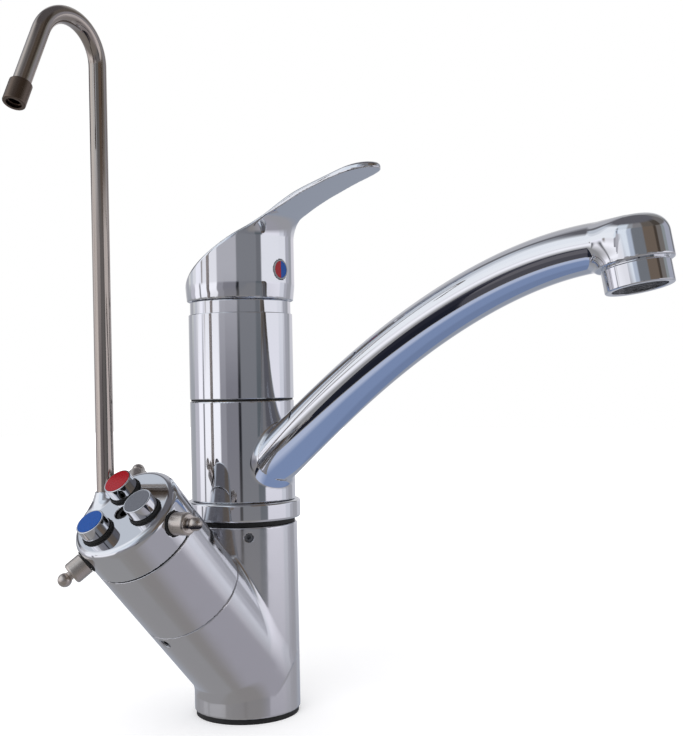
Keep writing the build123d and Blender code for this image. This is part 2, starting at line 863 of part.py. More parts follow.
def make_housing_o_ring():
    groove = branch_bore_radius - press_gap - housing_groove_depth
    middle = branch_seam - housing_spigot_length + ring_land + housing_groove_height / 2
    return in_branch(seal(groove + press_gap, branch_bore_radius - press_gap, middle))


def make_tube_collets():
    top = housing_chamber_end + collet_length
    return group([at_valve(ring(collet_radius, feed_radius, housing_chamber_end, top), name)
                  for name in valve_angles])


def make_valve_seats():
    foot = land_start - seat_height
    return group([at_valve(ring(inlet_bore_radius - press_gap, land_radius, foot, land_start), name)
                  for name in valve_angles])


def make_head_gasket():
    sheet = rod(head_gasket_radius, head_seam, cap_foot)
    sheet -= rod(head_screw_radius + 2 * press_gap, head_seam, cap_foot)
    sheet = in_branch(sheet)
    for name in valve_angles:
        sheet -= at_valve(rod(valve_chamber_radius, head_seam, cap_foot), name)
    return sheet


def make_head_cap():
    cap = rod(branch_radius, cap_foot, head_face)
    cap = fillet(edges_at(cap, head_face, branch_radius), face_round)
    cap = in_branch(cap)
    lug = rod(lug_radius, lug_foot, lug_shoulder, pipe_x, pipe_y)
    lug += cone(lug_radius, lug_top_radius, lug_shoulder, lug_top, pipe_x, pipe_y)
    keep = in_branch(rod(2 * branch_radius, cap_foot, 2 * head_face))
    cap += lug & keep
    ferrule_top = pipe_foot + ferrule_height + face_gap
    cap -= rod(ferrule_radius + running_gap, lug_foot - ferrule_height, ferrule_top, pipe_x, pipe_y)
    cap -= rod(pipe_radius + running_gap, pipe_foot, pipe_way_top, pipe_x, pipe_y)
    cap -= in_branch(ring(ring_channel_outer, ring_channel_inner, cap_foot, spot_along))
    cap -= in_branch(rod(head_screw_radius + 2 * press_gap, cap_foot, head_face))
    cap -= in_branch(rod(head_screw_head_radius + running_gap, screw_head_foot, head_face))
    for name, angle in valve_angles.items():
        cap -= at_valve(rod(valve_chamber_radius, cap_foot, button_floor), name)
        cap -= at_valve(rod(button_bore_radius, button_floor, head_face), name)
        ring_seat = button_bore_radius + button_ring_width + press_gap
        ring_top = head_face + button_ring_rise + face_gap
        cap -= at_valve(rod(ring_seat, head_face - button_ring_seat, ring_top), name)
        drilled = rod(needle_radius + running_gap, needle_end - needle_reserve, regulator_spindle_end)
        spindle_foot = regulator_spindle_end - press_gap
        drilled += rod(regulator_spindle_radius + running_gap / 2, spindle_foot, regulator_seat)
        spot_top = regulator_seat + 3 * overrun
        drilled += rod(regulator_seat_radius + press_gap, regulator_seat, spot_top)
        cap -= outward(drilled, angle, spot_along)
    return cap


screw_head_foot = head_face - head_screw_recess - head_screw_head_height


def make_centre_screw():
    top = screw_head_foot + head_screw_head_height
    screw = rod(head_screw_head_radius, screw_head_foot, top)
    screw = fillet(edges_at(screw, top, head_screw_head_radius), head_screw_edge)
    screw += rod(head_screw_radius - press_gap, head_seam - head_screw_reach, screw_head_foot)
    return in_branch(screw - hexagon(head_screw_socket, top - head_screw_socket_depth, top))


def make_gland_bushes():
    bore = valve_stem_radius + running_gap
    return group([at_valve(ring(valve_chamber_radius - press_gap, bore, bush_foot, button_floor), name)
                  for name in valve_angles])


def make_button_rings():
    outer = button_bore_radius + button_ring_width
    return group([at_valve(ring(outer, button_bore_radius, head_face - button_ring_seat,
                                head_face + button_ring_rise), name) for name in valve_angles])


def make_button(name):
    barrel = rod(button_radius, button_foot, button_crown)
    barrel = fillet(edges_at(barrel, button_crown, button_radius), button_edge)
    barrel -= rod(button_radius - button_wall, button_foot, button_roof)
    barrel -= rod(disc_inlay_radius, inlay_foot, button_crown)
    return at_valve(barrel, name)


def make_button_disc(name):
    top = button_crown + disc_inlay_proud
    disc = rod(disc_inlay_radius - press_gap, inlay_foot, top)
    disc = fillet(edges_at(disc, top, disc_inlay_radius - press_gap), disc_inlay_edge)
    return at_valve(disc, name)


def make_valve(name):
    stem = rod(valve_stem_radius, valve_head_foot, button_roof)
    return at_valve(stem + rod(valve_head_radius, valve_head_foot, valve_head_top), name)


def make_spring(name):
    foot = button_floor + spring_wire / 2 + press_gap
    length = button_roof - foot - spring_wire / 2 - press_gap
    path = Pos(0, 0, foot) * Helix(length / spring_turns, length, spring_radius)
    start = path @ 0
    section = Plane(origin=start, z_dir=path % 0) * Circle(spring_wire / 2)
    return at_valve(sweep(section, path), name)


def make_regulator(name):
    seat_top = regulator_seat + regulator_seat_height
    barrel_foot = seat_top + face_gap
    barrel_top = barrel_foot + regulator_length
    knob = rod(regulator_radius, barrel_foot, barrel_top)
    knob = fillet(edges_at(knob, barrel_top, regulator_radius), regulator_edge)
    ball_middle = barrel_top + regulator_neck_length + regulator_ball_radius - regulator_ball_sunk
    knob += rod(regulator_neck_radius, barrel_top, ball_middle)
    knob += Pos(0, 0, ball_middle) * Sphere(regulator_ball_radius)
    knob += rod(regulator_spindle_radius, regulator_spindle_end, barrel_foot)
    knob += cone(needle_radius / 2, needle_radius, needle_end, regulator_spindle_end)
    return outward(knob, valve_angles[name], spot_along)


def make_regulator_seats():
    seat = ring(regulator_seat_radius, regulator_spindle_radius + running_gap,
                regulator_seat, regulator_seat + regulator_seat_height)
    return group([outward(seat, angle, spot_along) for angle in valve_angles.values()])


# ------------------------------------------------------------------ filter spout

pipe_place = Pos(pipe_x, pipe_y, 0) * Rot(Z=pipe_heading)
bend = radians(pipe_bend_angle)
bend_end = (pipe_bend_radius * (1 - cos(bend)), pipe_straight_top + pipe_bend_radius * sin(bend))
leg_plane = Plane(origin=(bend_end[0], 0, bend_end[1]), x_dir=(0, 1, 0), z_dir=(sin(bend), 0, cos(bend)))


def pipe_run(radius):
    """Solid bar along the filter spout's line."""
    straight = rod(radius, pipe_foot, pipe_straight_top)
    disc = Pos(0, 0, pipe_straight_top) * Circle(radius)
    axis = Axis((pipe_bend_radius, 0, pipe_straight_top), (0, 1, 0))
    elbow = revolve(disc, axis, pipe_bend_angle)
    leg = leg_plane.location * rod(radius, 0, pipe_leg)
    return straight + elbow + leg


def make_filter_spout():
    return pipe_place * (pipe_run(pipe_radius) - pipe_run(pipe_bore_radius))


def make_spout_ferrule():
    top = pipe_foot + ferrule_height
    ferrule = ring(ferrule_radius, pipe_radius, pipe_foot, top, pipe_x, pipe_y)
    foot = pipe_foot + ferrule_height / 2
    inner = ferrule_radius - ferrule_groove_depth
    groove_top = foot + ferrule_groove_height
    return ferrule - ring(ferrule_radius + overrun, inner, foot, groove_top, pipe_x, pipe_y)


def make_ferrule_o_ring():
    middle = pipe_foot + (ferrule_height + ferrule_groove_height) / 2
    inner = ferrule_radius - ferrule_groove_depth + press_gap
    return Pos(pipe_x, pipe_y, 0) * seal(inner, ferrule_radius, middle)


def make_filter_spout_tip():
    start = pipe_leg + tip_overhang - tip_length
    end = pipe_leg + tip_overhang
    tip = rod(tip_radius, start, end)
    tip = fillet(edges_at(tip, end, tip_radius), tip_edge)
    tip -= rod(pipe_radius + press_gap, start, pipe_leg)
    tip -= rod(tip_lip_radius, pipe_leg, end)
    return pipe_place * (leg_plane.location * tip)


# ------------------------------------------------------------------ write every node

makers = {
    "base_gasket": make_base_gasket,
    "lower_body": make_lower_body,
    "column_screw": make_column_screw,
    "branch_screw": make_branch_screw,
    "centre_column": make_centre_column,
    "swivel_washer": make_swivel_washer,
    "trim_ring": make_trim_ring,
    "column_o_rings": make_column_o_rings,
    "column_glide_rings": make_column_glide_rings,
    "upper_washer": make_upper_washer,
    "main_spout": make_main_spout,
    "aerator_housing": make_aerator_housing,
    "aerator_insert": make_aerator_insert,
    "aerator_seal": make_aerator_seal,
    "cartridge_sleeve": make_cartridge_sleeve,
    "cartridge_base": make_cartridge_base,
    "cartridge_body": make_cartridge_body,
    "cartridge_seals": make_cartridge_seals,
    "fixed_disc": make_fixed_disc,
    "moving_disc": make_moving_disc,
    "disc_carrier": make_disc_carrier,
    "cartridge_turret": make_cartridge_turret,
    "lever_stem": make_lever_stem,
    "stem_pin": make_stem_pin,
    "cartridge_nut": make_cartridge_nut,
    "dome_cover": make_dome_cover,
    "lever": make_lever,
    "lever_screw": make_lever_screw,
    "indicator_base": make_indicator_base,
    "valve_housing": make_valve_housing,
    "housing_o_ring": make_housing_o_ring,
    "tube_collets": make_tube_collets,
    "valve_seats": make_valve_seats,
    "head_gasket": make_head_gasket,
    "head_cap": make_head_cap,
    "centre_screw": make_centre_screw,
    "gland_bushes": make_gland_bushes,
    "button_rings": make_button_rings,
    "regulator_seats": make_regulator_seats,
    "filter_spout": make_filter_spout,
    "spout_ferrule": make_spout_ferrule,
    "ferrule_o_ring": make_ferrule_o_ring,
    "filter_spout_tip": make_filter_spout_tip,
}

os.makedirs("parts", exist_ok=True)
for node, maker in makers.items():
    export_step(maker(), f"parts/{node}.step")
for colour in valve_angles:
    export_step(make_button(colour), f"parts/{colour}_button.step")
    export_step(make_button_disc(colour), f"parts/{colour}_disc.step")
    export_step(make_valve(colour), f"parts/{colour}_valve.step")
    export_step(make_spring(colour), f"parts/{colour}_spring.step")
    export_step(make_regulator(colour), f"parts/{colour}_regulator.step")
for half, side in (("hot", -1), ("cold", 1)):
    export_step(make_indicator_half(side), f"parts/indicator_{half}.step")
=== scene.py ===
import bmesh
import bpy
import numpy as np
from math import cos, pi, radians, sin
from mathutils import Matrix, Vector


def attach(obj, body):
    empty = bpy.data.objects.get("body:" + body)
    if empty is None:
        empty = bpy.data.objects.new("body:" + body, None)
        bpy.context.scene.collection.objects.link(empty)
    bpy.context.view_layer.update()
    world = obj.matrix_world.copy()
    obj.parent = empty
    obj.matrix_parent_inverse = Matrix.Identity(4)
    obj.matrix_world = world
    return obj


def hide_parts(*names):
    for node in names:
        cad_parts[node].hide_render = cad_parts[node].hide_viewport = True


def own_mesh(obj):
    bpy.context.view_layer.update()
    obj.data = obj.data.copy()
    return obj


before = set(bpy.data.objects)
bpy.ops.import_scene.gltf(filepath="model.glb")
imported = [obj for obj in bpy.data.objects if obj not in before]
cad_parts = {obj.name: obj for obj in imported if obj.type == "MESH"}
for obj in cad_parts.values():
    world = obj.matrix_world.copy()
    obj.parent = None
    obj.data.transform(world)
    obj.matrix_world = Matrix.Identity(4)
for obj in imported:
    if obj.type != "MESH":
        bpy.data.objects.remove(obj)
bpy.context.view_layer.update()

# ---------------------------------------------------------------- foot gasket
# A black EPDM ring, moulded flat with a rib on top, that seals the foot on the sink.
# It shows as a dark line under the chrome.

MM = 0.001


def srgb(code):
    """Linear colour of an sRGB hex value."""
    parts = [int(code[i:i + 2], 16) / 255 for i in (1, 3, 5)]
    linear = [c / 12.92 if c <= 0.04045 else ((c + 0.055) / 1.055) ** 2.4 for c in parts]
    return (*linear, 1.0)


def node(tree, kind, settings=None, links=None):
    """Add a node, set its properties or inputs, and link outputs of other nodes to its inputs."""
    made = tree.nodes.new(kind)
    for name, value in (settings or {}).items():
        if isinstance(name, str) and hasattr(made, name) and name not in made.inputs:
            setattr(made, name, value)
        else:
            made.inputs[name].default_value = value
    for name, output in (links or {}).items():
        tree.links.new(output, made.inputs[name])
    return made


def finish(name, colour, **values):
    """New material with one Principled shader; returns the material, its tree and the shader."""
    material = bpy.data.materials.new(name)
    material.use_nodes = True
    tree = material.node_tree
    shader = tree.nodes["Principled BSDF"]
    shader.inputs["Base Color"].default_value = srgb(colour)
    for key, value in values.items():
        shader.inputs[key.replace("_", " ")].default_value = value
    return material, tree, shader


def grain(tree, shader, size, depth, low, high, stretch=(1, 1, 1), detail=3.0):
    """Fine relief of bumps about size mm across and depth mm deep, with the roughness going from low
    to high with it."""
    place = node(tree, "ShaderNodeTexCoord")
    turned = node(tree, "ShaderNodeMapping", {"Scale": stretch}, {"Vector": place.outputs["Object"]})
    noise = node(tree, "ShaderNodeTexNoise", {"Scale": 1 / (size * MM), "Detail": detail},
                 {"Vector": turned.outputs[0]})
    bump = node(tree, "ShaderNodeBump", {"Distance": depth * MM, "Strength": 1.0},
                {"Height": noise.outputs[0]})
    tree.links.new(bump.outputs[0], shader.inputs["Normal"])
    spread = node(tree, "ShaderNodeMapRange",
                  {"From Min": 0.3, "From Max": 0.7, "To Min": low, "To Max": high},
                  {"Value": noise.outputs[0]})
    tree.links.new(spread.outputs[0], shader.inputs["Roughness"])


def mottle(tree, shader, size, dark, light):
    """Slow drift between two shades over spots about size mm across."""
    place = node(tree, "ShaderNodeTexCoord")
    noise = node(tree, "ShaderNodeTexNoise", {"Scale": 1 / (size * MM), "Detail": 2.0},
                 {"Vector": place.outputs["Object"]})
    mix = node(tree, "ShaderNodeMix", {"data_type": "RGBA"})
    tree.links.new(noise.outputs[0], mix.inputs["Factor"])
    mix.inputs[6].default_value = srgb(dark)
    mix.inputs[7].default_value = srgb(light)
    tree.links.new(mix.outputs[2], shader.inputs["Base Color"])


def dress(name, material):
    """Give a CAD node its material."""
    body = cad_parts[name]
    body.data.materials.clear()
    body.data.materials.append(material)


# Moulded EPDM rubber: matt black with a faint grey bloom and the fine texture of the mould.
black_rubber, tree, shader = finish("moulded_epdm_rubber", "#1b1b1c", Roughness=0.62)
grain(tree, shader, 0.35, 0.02, low=0.55, high=0.75)
mottle(tree, shader, 5.0, "#161617", "#232324")
dress("base_gasket", black_rubber)

# ---------------------------------------------------------------- lower body
# The brass casting of foot, column and leaning branch, machined, polished and chrome plated.
# The branch runs into the column with a small cast fillet; the foot cavity takes the hoses.

LEAN = radians(43.0)
BODY_RADIUS = 26.0
BODY_FOOT, BODY_TOP = 2.5, 93.3
BODY_EDGE = 0.6
BRANCH_RADIUS = 25.7
BRANCH_CROSSING = 22.4          # height at which the branch's axis meets the column's
BRANCH_SEAM = 56.3              # end of the casting along the branch
SEAM_EDGE = 0.35
ROOT_FILLET = 2.2
FOOT_CAVITY, CAVITY_TOP = 20.5, 66.5
COLUMN_BORE = 15.65
BRANCH_BORE = 16.8
SPIGOT_BORE, SPIGOT_SEAT = 20.0, 47.5
COLUMN_SCREW = radians(227.5)   # side of the column that its grub screw is on
COLUMN_SCREW_HEIGHT, COLUMN_SCREW_BORE, COLUMN_SCREW_END = 88.5, 2.0, 15.0
BRANCH_SCREW_ALONG, BRANCH_SCREW_BORE, BRANCH_SCREW_END = 52.0, 2.5, 19.0
HOLE_EDGE = 0.3


def rounded_both(a, b, edge):
    """What is inside two shapes, with the edge where they meet rounded to that radius."""
    return np.minimum(np.maximum(a, b), -edge) + np.hypot(np.maximum(a + edge, 0), np.maximum(b + edge, 0))


def rounded_either(a, b, root):
    """Two shapes joined, with the root where they meet filled to that radius."""
    return np.maximum(np.minimum(a, b), root) - np.hypot(np.maximum(root - a, 0), np.maximum(root - b, 0))


def post(x, y, z, radius, low, high, edge):
    """Upright round bar with rounded rims."""
    return rounded_both(np.hypot(x, y) - radius, np.abs(z - (low + high) / 2) - (high - low) / 2, edge)


def branch_frame(x, y, z):
    """Coordinates up the face, across it and out along the branch."""
    level = z - BRANCH_CROSSING
    return x * cos(LEAN) + level * sin(LEAN), y, level * cos(LEAN) - x * sin(LEAN)


def cast(name, field, low, high, cell, blur=0.01):
    """Closed mesh of the surface where field(x, y, z), in mm, is zero. The solid is where it is negative.
    Each grid cell that the surface crosses gets a point, which is then drawn onto the surface, and the
    normals are the field's own, so that a polished casting reflects without facets."""
    axes = [np.arange(a - 1.5 * cell, b + 2.5 * cell, cell) for a, b in zip(low, high)]
    start = np.array([line[0] for line in axes])
    grid = np.ascontiguousarray(np.broadcast_to(
        field(axes[0][:, None, None], axes[1][None, :, None], axes[2][None, None, :]),
        [len(line) for line in axes]), dtype=np.float32)
    inside = grid < 0
    shape = grid.shape
    faces, crossings = [], []
    for k in range(3):
        first = [slice(None)] * 3
        second = [slice(None)] * 3
        first[k], second[k] = slice(0, -1), slice(1, None)
        crossed = np.argwhere(inside[tuple(first)] != inside[tuple(second)])
        step = np.eye(3, dtype=int)[k]
        across, beside = np.eye(3, dtype=int)[(k + 1) % 3], np.eye(3, dtype=int)[(k + 2) % 3]
        near = grid[tuple(crossed.T)].astype(float)
        far = grid[tuple((crossed + step).T)].astype(float)
        spot = crossed + step * (near / (near - far))[:, None]
        corners = [crossed, crossed - across, crossed - across - beside, crossed - beside]
        ids = np.stack([np.ravel_multi_index(tuple(c.T), shape) for c in corners], axis=1)
        crossings.append((ids, spot))
        inward = ~inside[tuple(crossed.T)]
        ids = ids.copy()
        ids[inward] = ids[inward][:, ::-1]
        faces.append(ids)
    used, faces = np.unique(np.concatenate(faces), return_inverse=True)
    faces = faces.reshape(-1, 4)
    total, count = np.zeros((len(used), 3)), np.zeros(len(used))
    for ids, spot in crossings:
        places = np.searchsorted(used, ids)
        for corner in range(4):
            count += np.bincount(places[:, corner], minlength=len(used))
            for k in range(3):
                total[:, k] += np.bincount(places[:, corner], spot[:, k], minlength=len(used))
    points = start + cell * total / count[:, None]

    def slope(p, tiny=0.01):
        parts = []
        for k in range(3):
            ahead, behind = p.copy(), p.copy()
            ahead[:, k] += tiny
            behind[:, k] -= tiny
            parts.append((field(*ahead.T) - field(*behind.T)) / (2 * tiny))
        return np.stack(parts, axis=1)

    for _ in range(4):
        rise = slope(points)
        move = (field(*points.T) / np.maximum((rise ** 2).sum(1), 1e-4))[:, None] * rise
        length = np.linalg.norm(move, axis=1, keepdims=True)
        points -= move * np.minimum(1, 0.5 * cell / np.maximum(length, 1e-9))
    normals = slope(points, blur)
    normals /= np.maximum(np.linalg.norm(normals, axis=1, keepdims=True), 1e-9)
    mesh = bpy.data.meshes.new(name)
    mesh.from_pydata(points * MM, [], faces)
    mesh.update()
    mesh.normals_split_custom_set_from_vertices(normals)
    piece = bpy.data.objects.new(name, mesh)
    bpy.context.scene.collection.objects.link(piece)
    return piece


def fit(piece, material, slot, body, *nodes):
    """Give a piece its material, let it stand for CAD nodes and ride on a body. The slot is not used."""
    piece.data.materials.clear()
    piece.data.materials.append(material)
    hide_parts(*nodes)
    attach(piece, body)


def lower_body(x, y, z):
    up, side, out = branch_frame(x, y, z)
    reach = np.hypot(up, side)
    column = post(x, y, z, BODY_RADIUS, BODY_FOOT, BODY_TOP, BODY_EDGE)
    branch = np.maximum(rounded_both(reach - BRANCH_RADIUS, out - BRANCH_SEAM, SEAM_EDGE), -out)
    solid = np.maximum(rounded_either(column, branch, ROOT_FILLET), z - BODY_TOP)
    hollow = np.maximum(np.hypot(x, y) - FOOT_CAVITY, z - CAVITY_TOP)
    hollow = np.minimum(hollow, np.maximum(reach - BRANCH_BORE, -out))
    hollow = np.minimum(hollow, np.maximum(reach - SPIGOT_BORE, SPIGOT_SEAT - out))
    hollow = np.minimum(hollow, np.hypot(x, y) - COLUMN_BORE)
    across = x * sin(COLUMN_SCREW) - y * cos(COLUMN_SCREW)
    along = x * cos(COLUMN_SCREW) + y * sin(COLUMN_SCREW)
    screw = np.maximum(np.hypot(z - COLUMN_SCREW_HEIGHT, across) - COLUMN_SCREW_BORE,
                       COLUMN_SCREW_END - along)
    low_screw = np.maximum(np.hypot(side, out - BRANCH_SCREW_ALONG) - BRANCH_SCREW_BORE,
                           BRANCH_SCREW_END + up)
    return rounded_both(rounded_both(solid, -screw, HOLE_EDGE), -np.minimum(low_screw, hollow), HOLE_EDGE)


# Chrome on polished brass: a mirror with a cool tint, the slight wave that hand polishing leaves,
# and a film of fine wiping marks that softens the reflections here and there.
chrome, tree, shader = finish("polished_chrome_plate", "#e6e8ec", Metallic=1.0, Roughness=0.04)
grain(tree, shader, 9.0, 0.010, low=0.025, high=0.07, detail=1.0)
# The same plate over a finer blasted ground: reflections are soft, as a satin mirror gives them.
soft_chrome, tree, shader = finish("satin_chrome_plate", "#e4e5e9", Metallic=1.0, Roughness=0.14)
grain(tree, shader, 7.0, 0.008, low=0.1, high=0.18, detail=2.0)
fit(cast("lower_body_casting", lower_body, (-60, -27, 2), (27, 27, 94), 0.75), soft_chrome, "chrome", "base",
    "lower_body")

# Zinc plated steel: grey, a little rough.
steel, tree, shader = finish("zinc_plated_steel", "#8d9094", Metallic=1.0, Roughness=0.35)
grain(tree, shader, 0.4, 0.004, low=0.3, high=0.45)
dress("column_screw", steel)
dress("branch_screw", steel)

# ---------------------------------------------------------------- centre column and its seals
# The turned brass post that the spout swings on, with its rubber rings and white slip rings.
# All of it is inside the sleeve.

# Turned brass: warm yellow metal with the fine rings of the lathe tool.
brass, tree, shader = finish("turned_brass", "#c9a35a", Metallic=1.0, Roughness=0.28)
grain(tree, shader, 0.6, 0.006, stretch=(0.05, 0.05, 1.0), low=0.22, high=0.36)
# Acetal slip rings: milky white, waxy.
white_plastic, tree, shader = finish("white_acetal", "#e9e8e2", Roughness=0.38)
grain(tree, shader, 0.5, 0.005, low=0.33, high=0.45)
dress("centre_column", brass)
dress("column_o_rings", black_rubber)
dress("column_glide_rings", white_plastic)

# ---------------------------------------------------------------- swivel washer and trim ring
# A black washer lies on the body, and a turned chrome ring over it hides the joint of the spout.
# The washer shows as a dark gap under the ring.


def turned(name, outline, steps=192):
    """Closed turned shape: outline is a ring of (radius, height, round) corners, round being their radius.
    Returns an object with its axis on Z."""
    points = []
    count = len(outline)
    for index, (r, h, bend) in enumerate(outline):
        if not bend:
            points.append((r, h))
            continue
        corner = Vector((r, h))
        before = Vector(outline[index - 1][:2]) - corner
        after = Vector(outline[(index + 1) % count][:2]) - corner
        before.normalize()
        after.normalize()
        half = before.angle(after) / 2
        back = bend / np.tan(half)
        centre = corner + (before + after).normalized() * bend / sin(half)
        first, last = corner + before * back, corner + after * back
        points.append(tuple(first + before * 0.02))
        a, b = first - centre, last - centre
        turn = a.angle_signed(b)
        pieces = 8
        for step in range(pieces + 1):
            angle = -turn * step / pieces
            points.append((centre.x + a.x * cos(angle) - a.y * sin(angle),
                           centre.y + a.x * sin(angle) + a.y * cos(angle)))
        points.append(tuple(last + after * 0.02))
    mesh = bmesh.new()
    rings = []
    for r, h in points:
        if r < 1e-6:
            rings.append([mesh.verts.new((0, 0, h * MM))])
            continue
        angles = [2 * pi * s / steps for s in range(steps)]
        rings.append([mesh.verts.new((r * MM * cos(a), r * MM * sin(a), h * MM)) for a in angles])
    for one, two in zip(rings, rings[1:] + rings[:1]):
        if len(one) == 1 and len(two) == 1:
            continue
        for s in range(steps):
            t = (s + 1) % steps
            if len(one) == 1:
                mesh.faces.new((one[0], two[t], two[s]))
            elif len(two) == 1:
                mesh.faces.new((one[s], one[t], two[0]))
            else:
                mesh.faces.new((one[s], one[t], two[t], two[s]))
    bmesh.ops.recalc_face_normals(mesh, faces=mesh.faces)
    data = bpy.data.meshes.new(name)
    mesh.to_mesh(data)
    mesh.free()
    data.polygons.foreach_set("use_smooth", [True] * len(data.polygons))
    data.set_sharp_from_angle(angle=radians(28))
    piece = bpy.data.objects.new(name, data)
    bpy.context.scene.collection.objects.link(piece)
    return piece


def place(piece, matrix):
    """Move a piece's mesh, so that its object stays at the origin."""
    piece.data.transform(matrix)
    return piece


def ring(name, outer, inner, low, high, edge):
    """Plain turned ring with rounded outer rims."""
    return turned(name, [(outer, low, edge), (outer, high, edge), (inner, high, 0), (inner, low, 0)])


WASHER_RADIUS = 25.0
TRIM_RADIUS = 27.8
TRIM_FOOT, TRIM_TOP = 95.7, 104.5
ON_COLUMN = 19.05               # bore of what is fixed on the column
fit(ring("swivel_washer_ring", WASHER_RADIUS, COLUMN_BORE, BODY_TOP, TRIM_FOOT, 0.3), black_rubber,
    "black_rubber", "base", "swivel_washer")
fit(ring("trim_ring_band", TRIM_RADIUS, ON_COLUMN, TRIM_FOOT, TRIM_TOP, 1.2), chrome, "chrome", "base",
    "trim_ring")

# ---------------------------------------------------------------- main spout
# One chrome casting: the sleeve that turns on the column, the oval spout and the nozzle cup.
# The spout rises along a shallow arc, narrows a little and ends level with the nozzle's dome.

SLEEVE_RADIUS = 25.5
SLEEVE_BORE = 19.15             # runs on the column with a gap
SLEEVE_FOOT, SLEEVE_TOP = 104.65, 153.15
SLEEVE_EDGE = 0.4
SPOUT_ROOT = (13.0, 117.7)      # reach and height at which its line starts, inside the sleeve
SPOUT_COURSE = [                # shares of the reach and rise from there to the nozzle
    (0.0, 0.0), (0.079, 0.122), (0.159, 0.247), (0.287, 0.439), (0.407, 0.595), (0.519, 0.726),
    (0.628, 0.832), (0.730, 0.913), (0.821, 0.964), (0.913, 0.994), (1.0, 1.0)]
ROOT_HALF = (14.5, 11.3)        # half width and half height of the oval
TIP_HALF = (13.7, 9.6)
NOZZLE_PLACE = (0.0, -208.0, 194.5)     # middle of the outlet
NOZZLE_TILT = radians(10.5)
NOZZLE_RADIUS = 15.2
CUP_FOOT, CUP_TOP = 9.45, 27.15         # up the nozzle's axis from the outlet
DOME_ROUND = 7.5
TIP_DROP = 9.4                  # from the dome's top down to the spout's line
OUTLET_BORE, OUTLET_DEPTH = 12.05, 18.5
SPOUT_FILLET, NOZZLE_FILLET = 2.0, 3.0
FAR = 1000.0                    # takes a cut or a bore out of play on the other side

spout_tip = (-NOZZLE_PLACE[1] - CUP_TOP * sin(NOZZLE_TILT),
             NOZZLE_PLACE[2] + CUP_TOP * cos(NOZZLE_TILT) - TIP_DROP)
line = np.array(SPOUT_ROOT) + np.array(SPOUT_COURSE) * (np.array(spout_tip) - np.array(SPOUT_ROOT))
stations = np.concatenate([[0], np.cumsum(np.hypot(*np.diff(line, axis=0).T))])
stations /= stations[-1]
reach_curve = np.polynomial.Polynomial.fit(stations, -line[:, 0], 5)
height_curve = np.polynomial.Polynomial.fit(stations, line[:, 1], 5)


def spout_bar(x, y, z):
    """Oval bar along the spout's line."""
    y, z = np.broadcast_arrays(np.asarray(y, float), np.asarray(z, float))
    samples = np.linspace(0, 1, 60)
    near = np.full(y.shape, 1e9)
    best = np.zeros(y.shape)
    for u in samples:
        gap = np.hypot(y - reach_curve(u), z - height_curve(u))
        best = np.where(gap < near, u, best)
        near = np.minimum(near, gap)
    dy, dz = reach_curve.deriv(), height_curve.deriv()
    ddy, ddz = dy.deriv(), dz.deriv()
    for _ in range(3):
        off_y, off_z = y - reach_curve(best), z - height_curve(best)
        pull = off_y * dy(best) + off_z * dz(best)
        stiff = dy(best) ** 2 + dz(best) ** 2 - off_y * ddy(best) - off_z * ddz(best)
        best = np.clip(best + pull / np.maximum(stiff, 1e3), -0.05, 1.0)
    off_y, off_z = y - reach_curve(best), z - height_curve(best)
    speed = np.hypot(dy(best), dz(best))
    rise = (off_z * dy(best) - off_y * dz(best)) / speed
    past = (off_y * dy(best) + off_z * dz(best)) / speed
    wide = ROOT_HALF[0] + (TIP_HALF[0] - ROOT_HALF[0]) * best
    tall = ROOT_HALF[1] + (TIP_HALF[1] - ROOT_HALF[1]) * best
    oval = (np.sqrt((x / wide) ** 2 + (rise / tall) ** 2 + 1e-9) - 1) * tall
    return np.maximum(oval, np.where((best > 0.999) | (best < -0.049), np.abs(past) - 0.5, -50.0))


def nozzle_frame(x, y, z):
    """Coordinates across the nozzle and up its axis from the outlet."""
    back, level = y - NOZZLE_PLACE[1], z - NOZZLE_PLACE[2]
    lean_cos, lean_sin = cos(NOZZLE_TILT), sin(NOZZLE_TILT)
    return x, back * lean_cos - level * lean_sin, back * lean_sin + level * lean_cos


def main_spout(x, y, z):
    sleeve = post(x, y, z, SLEEVE_RADIUS, SLEEVE_FOOT, SLEEVE_TOP, SLEEVE_EDGE)
    solid = rounded_either(sleeve, spout_bar(x, y, z), SPOUT_FILLET)
    ends = np.abs(z - (SLEEVE_FOOT + SLEEVE_TOP) / 2) - (SLEEVE_TOP - SLEEVE_FOOT) / 2
    solid = np.maximum(solid, ends - FAR * (y < -SLEEVE_RADIUS))
    nx, ny, nz = nozzle_frame(x, y, z)
    across = np.hypot(nx, ny)
    cup = rounded_both(across - NOZZLE_RADIUS, nz - CUP_TOP, DOME_ROUND)
    cup = rounded_both(cup, CUP_FOOT - nz, BODY_EDGE)
    solid = rounded_either(solid, cup, NOZZLE_FILLET)
    bore = np.minimum(np.hypot(x, y) - SLEEVE_BORE + FAR * (y < -24),
                      np.maximum(across - OUTLET_BORE, nz - OUTLET_DEPTH))
    return rounded_both(solid, -bore, HOLE_EDGE)


fit(cast("main_spout_casting", main_spout, (-26, -225, 104), (26, 26, 224), 0.69), chrome, "chrome", "spout",
    "main_spout")

# ---------------------------------------------------------------- aerator
# A chrome plated brass housing screwed into the nozzle, with a rubber seal above it and a grey
# plastic flow straightener that shows in its outlet.

